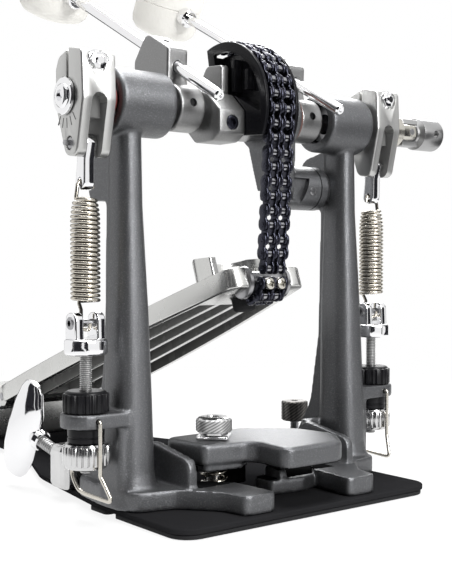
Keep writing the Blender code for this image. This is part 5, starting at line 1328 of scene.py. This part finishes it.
jaw = [(-52, 6, 7), (-49, -29, 4), (-19, -33, 8), (-21, -63, 6), (20, -63, 8), (36, -42, 12), (30, -14, 16),
       (5, 7, 10)]
skirt = [(-47.5, -28.4, 3), (-47.5, -23, 0), (-21, -23, 0), (-21, -31.4, 5)]
lugs = [slab("Z", oblong(x, -23, x + 6, -13, 1), 22, 28) for x in (-48, -20)]
shapes = [slab("Z", jaw, 26, 38, 2.4, 6), slab("Z", skirt, 23, 30, 0.8),
          slab("X", oblong(-4, 7.6, 4, 30, 1, 0), -24, 0), *lugs]
jaw_piece = casting("dressed_jaw", shapes, CAST, "jaw", "hoop_jaw", voxel=0.75, passes=4,
                    cutters=[drill("Z", 4.6, 10, 50, BOLT_AT, 40)])
# The jaw's downward faces and its low back faces get painted shade.
shade_inside(jaw_piece, lambda at, out: at.z < 25.6 and at.y > -22 or out.z < -0.6)
washer = slab("Z", hexagon(12.5, BOLT_AT, 4, 1), 38.3, 39.9, 0.4)
piece("dressed_washer", washer, CHROME, "jaw", "clamp_washer", slot="chrome",
      cutters=[drill("Z", 4.3, 30, 50, BOLT_AT, 40)])

# %% Clamp bolt and spring
END, DENT = 0.8, 0.7
CLAMP_COIL, CLAMP_TURNS, CLAMP_STEPS, CLAMP_LOW, CLAMP_HIGH = 6.6, 3.75, 24, 7.2, 24.4


def knurled(radius, low, high, centre, sides=40, rows=7):
    """A cylinder with every other point of its net pushed in."""
    rise = (high - low - 2 * END) / rows
    profile = [(low, radius - 1)] + [(low + END + rise * k, radius) for k in range(rows + 1)]
    bm = turned("Z", profile + [(high, radius - 1)], centre, sides)
    # The pushed-in points get painted shade.
    painted_shade = bm.verts.layers.float.new("painted_shade")
    for vert in bm.verts:
        flat = Vector((vert.co.x - centre[0] * MM, vert.co.y - centre[1] * MM, 0))
        if flat.length < (radius - 0.1) * MM:
            continue
        column = round(atan2(flat.y, flat.x) / (2 * pi) * sides)
        row = round((vert.co.z / MM - low - END) / rise)
        if (column + row) % 2:
            vert.co -= flat.normalized() * DENT * MM
            vert[painted_shade] = 0.9
    return bm


piece("dressed_bolt_head", knurled(10.1, 41.8, 49.2, BOLT_AT), KNURL_STEEL, "bolt", "clamp_bolt",
      slot="steel", smooth=20, cutters=[slab("Z", hexagon(3.6, BOLT_AT), 45, 60)])
flange = turned("Z", [(40.2, 7.6), (40.6, 8), (41.6, 8), (41.9, 7.6)], BOLT_AT, 56)
rim = turned("Z", [(49, 3.9), (49, 9.1), (49.7, 8.8), (50.2, 7.6), (50.2, 4.3), (49.6, 3.9), (49, 3.9)],
             BOLT_AT, 56)
piece("bolt_shank", gather(flange, thread("Z", 4, 4.6, 40.4, BOLT_AT, 1.25, 0.55), rim), STEEL_BRIGHT,
      "bolt", slot="steel")
total = round(CLAMP_TURNS * CLAMP_STEPS)
curls = [(BOLT_AT[0] + CLAMP_COIL * cos(2 * pi * k / CLAMP_STEPS),
          BOLT_AT[1] + CLAMP_COIL * sin(2 * pi * k / CLAMP_STEPS),
          CLAMP_LOW + (CLAMP_HIGH - CLAMP_LOW) * k / total) for k in range(total + 1)]
spring_between("dressed_clamp_spring", curls, "clamp_spring")

# %% [markdown]
# ## Side fittings
# At the left a chrome block takes a wing screw that draws the plate against the hoop. At the right a
# knurled spur can be wound down into the carpet. The wing is drawn upright, as a row of rings that are
# bridged, and then laid along its slanting axis.

# %% Wing screw
SEAT, AIM = Vector((-83, 60, 22)) * MM, Vector((-10, 40, 16))
BLADE = ((-30, 37, 4, 1.2), (-29, 37, 7, 2.4), (-25, 37, 10.5, 3.6), (-14, 37, 13.5, 4.6), (0, 37, 14, 5),
         (14, 38, 12.5, 4.6), (25, 39, 9, 3.6), (29, 39.5, 6, 2.4), (30, 39.5, 3.5, 1.2))
wing_frame = Matrix.Translation(SEAT) @ AIM.normalized().to_track_quat("Z", "Y").to_matrix().to_4x4()


def on_wing(bm):
    bmesh.ops.transform(bm, matrix=wing_frame, verts=bm.verts)
    return bm


piece("dressed_trunnion", slab("Z", oblong(-92, 46, -74, 64, 4), FOOT_LOW, 31, 3.2, 2, 2), STEEL_BRIGHT,
      "frame", "trunnion_block", slot="chrome", smooth=20,
      cutters=[on_wing(drill("Z", 4, -40, 50, (0, 0)))])
blade = lofted(BLADE, lambda along, middle, wide, thick, x, y: (thick * x, along, middle + wide * y))
boss = turned("Z", [(20, 5.2), (20.8, 6), (24, 6.2), (25, 5.4), (28, 4.4)], (0, 0))
piece("dressed_wing", on_wing(gather(blade, boss)), CHROME, "wing", "wing_screw", slot="chrome")
piece("wing_thread", on_wing(thread("Z", 3.5, -8, 24.5, (0, 0), 1.6, 0.8)), KNURL_STEEL, "wing",
      slot="steel", smooth=60)

# %% Spur
piece("dressed_spur", knurled(8.9, 30, 43, SPUR_AT, 36, 11), KNURL_DARK, "spur", "anchor_spur",
      slot="steel", smooth=20, cutters=[slab("Z", hexagon(2.5, SPUR_AT), 39, 50)])
point = turned("Z", [(5.9, 0), (6.2, 0.6), (11, 3), (12, 3)], SPUR_AT, 28)
piece("spur_thread", gather(point, thread("Z", 3, 12, 30.4, SPUR_AT)), STEEL, "spur", slot="steel",
      smooth=60)

# %% [markdown]
# ## Last lines
# The box of the dressed model is measured.

# %% Size and finish
low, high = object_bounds()
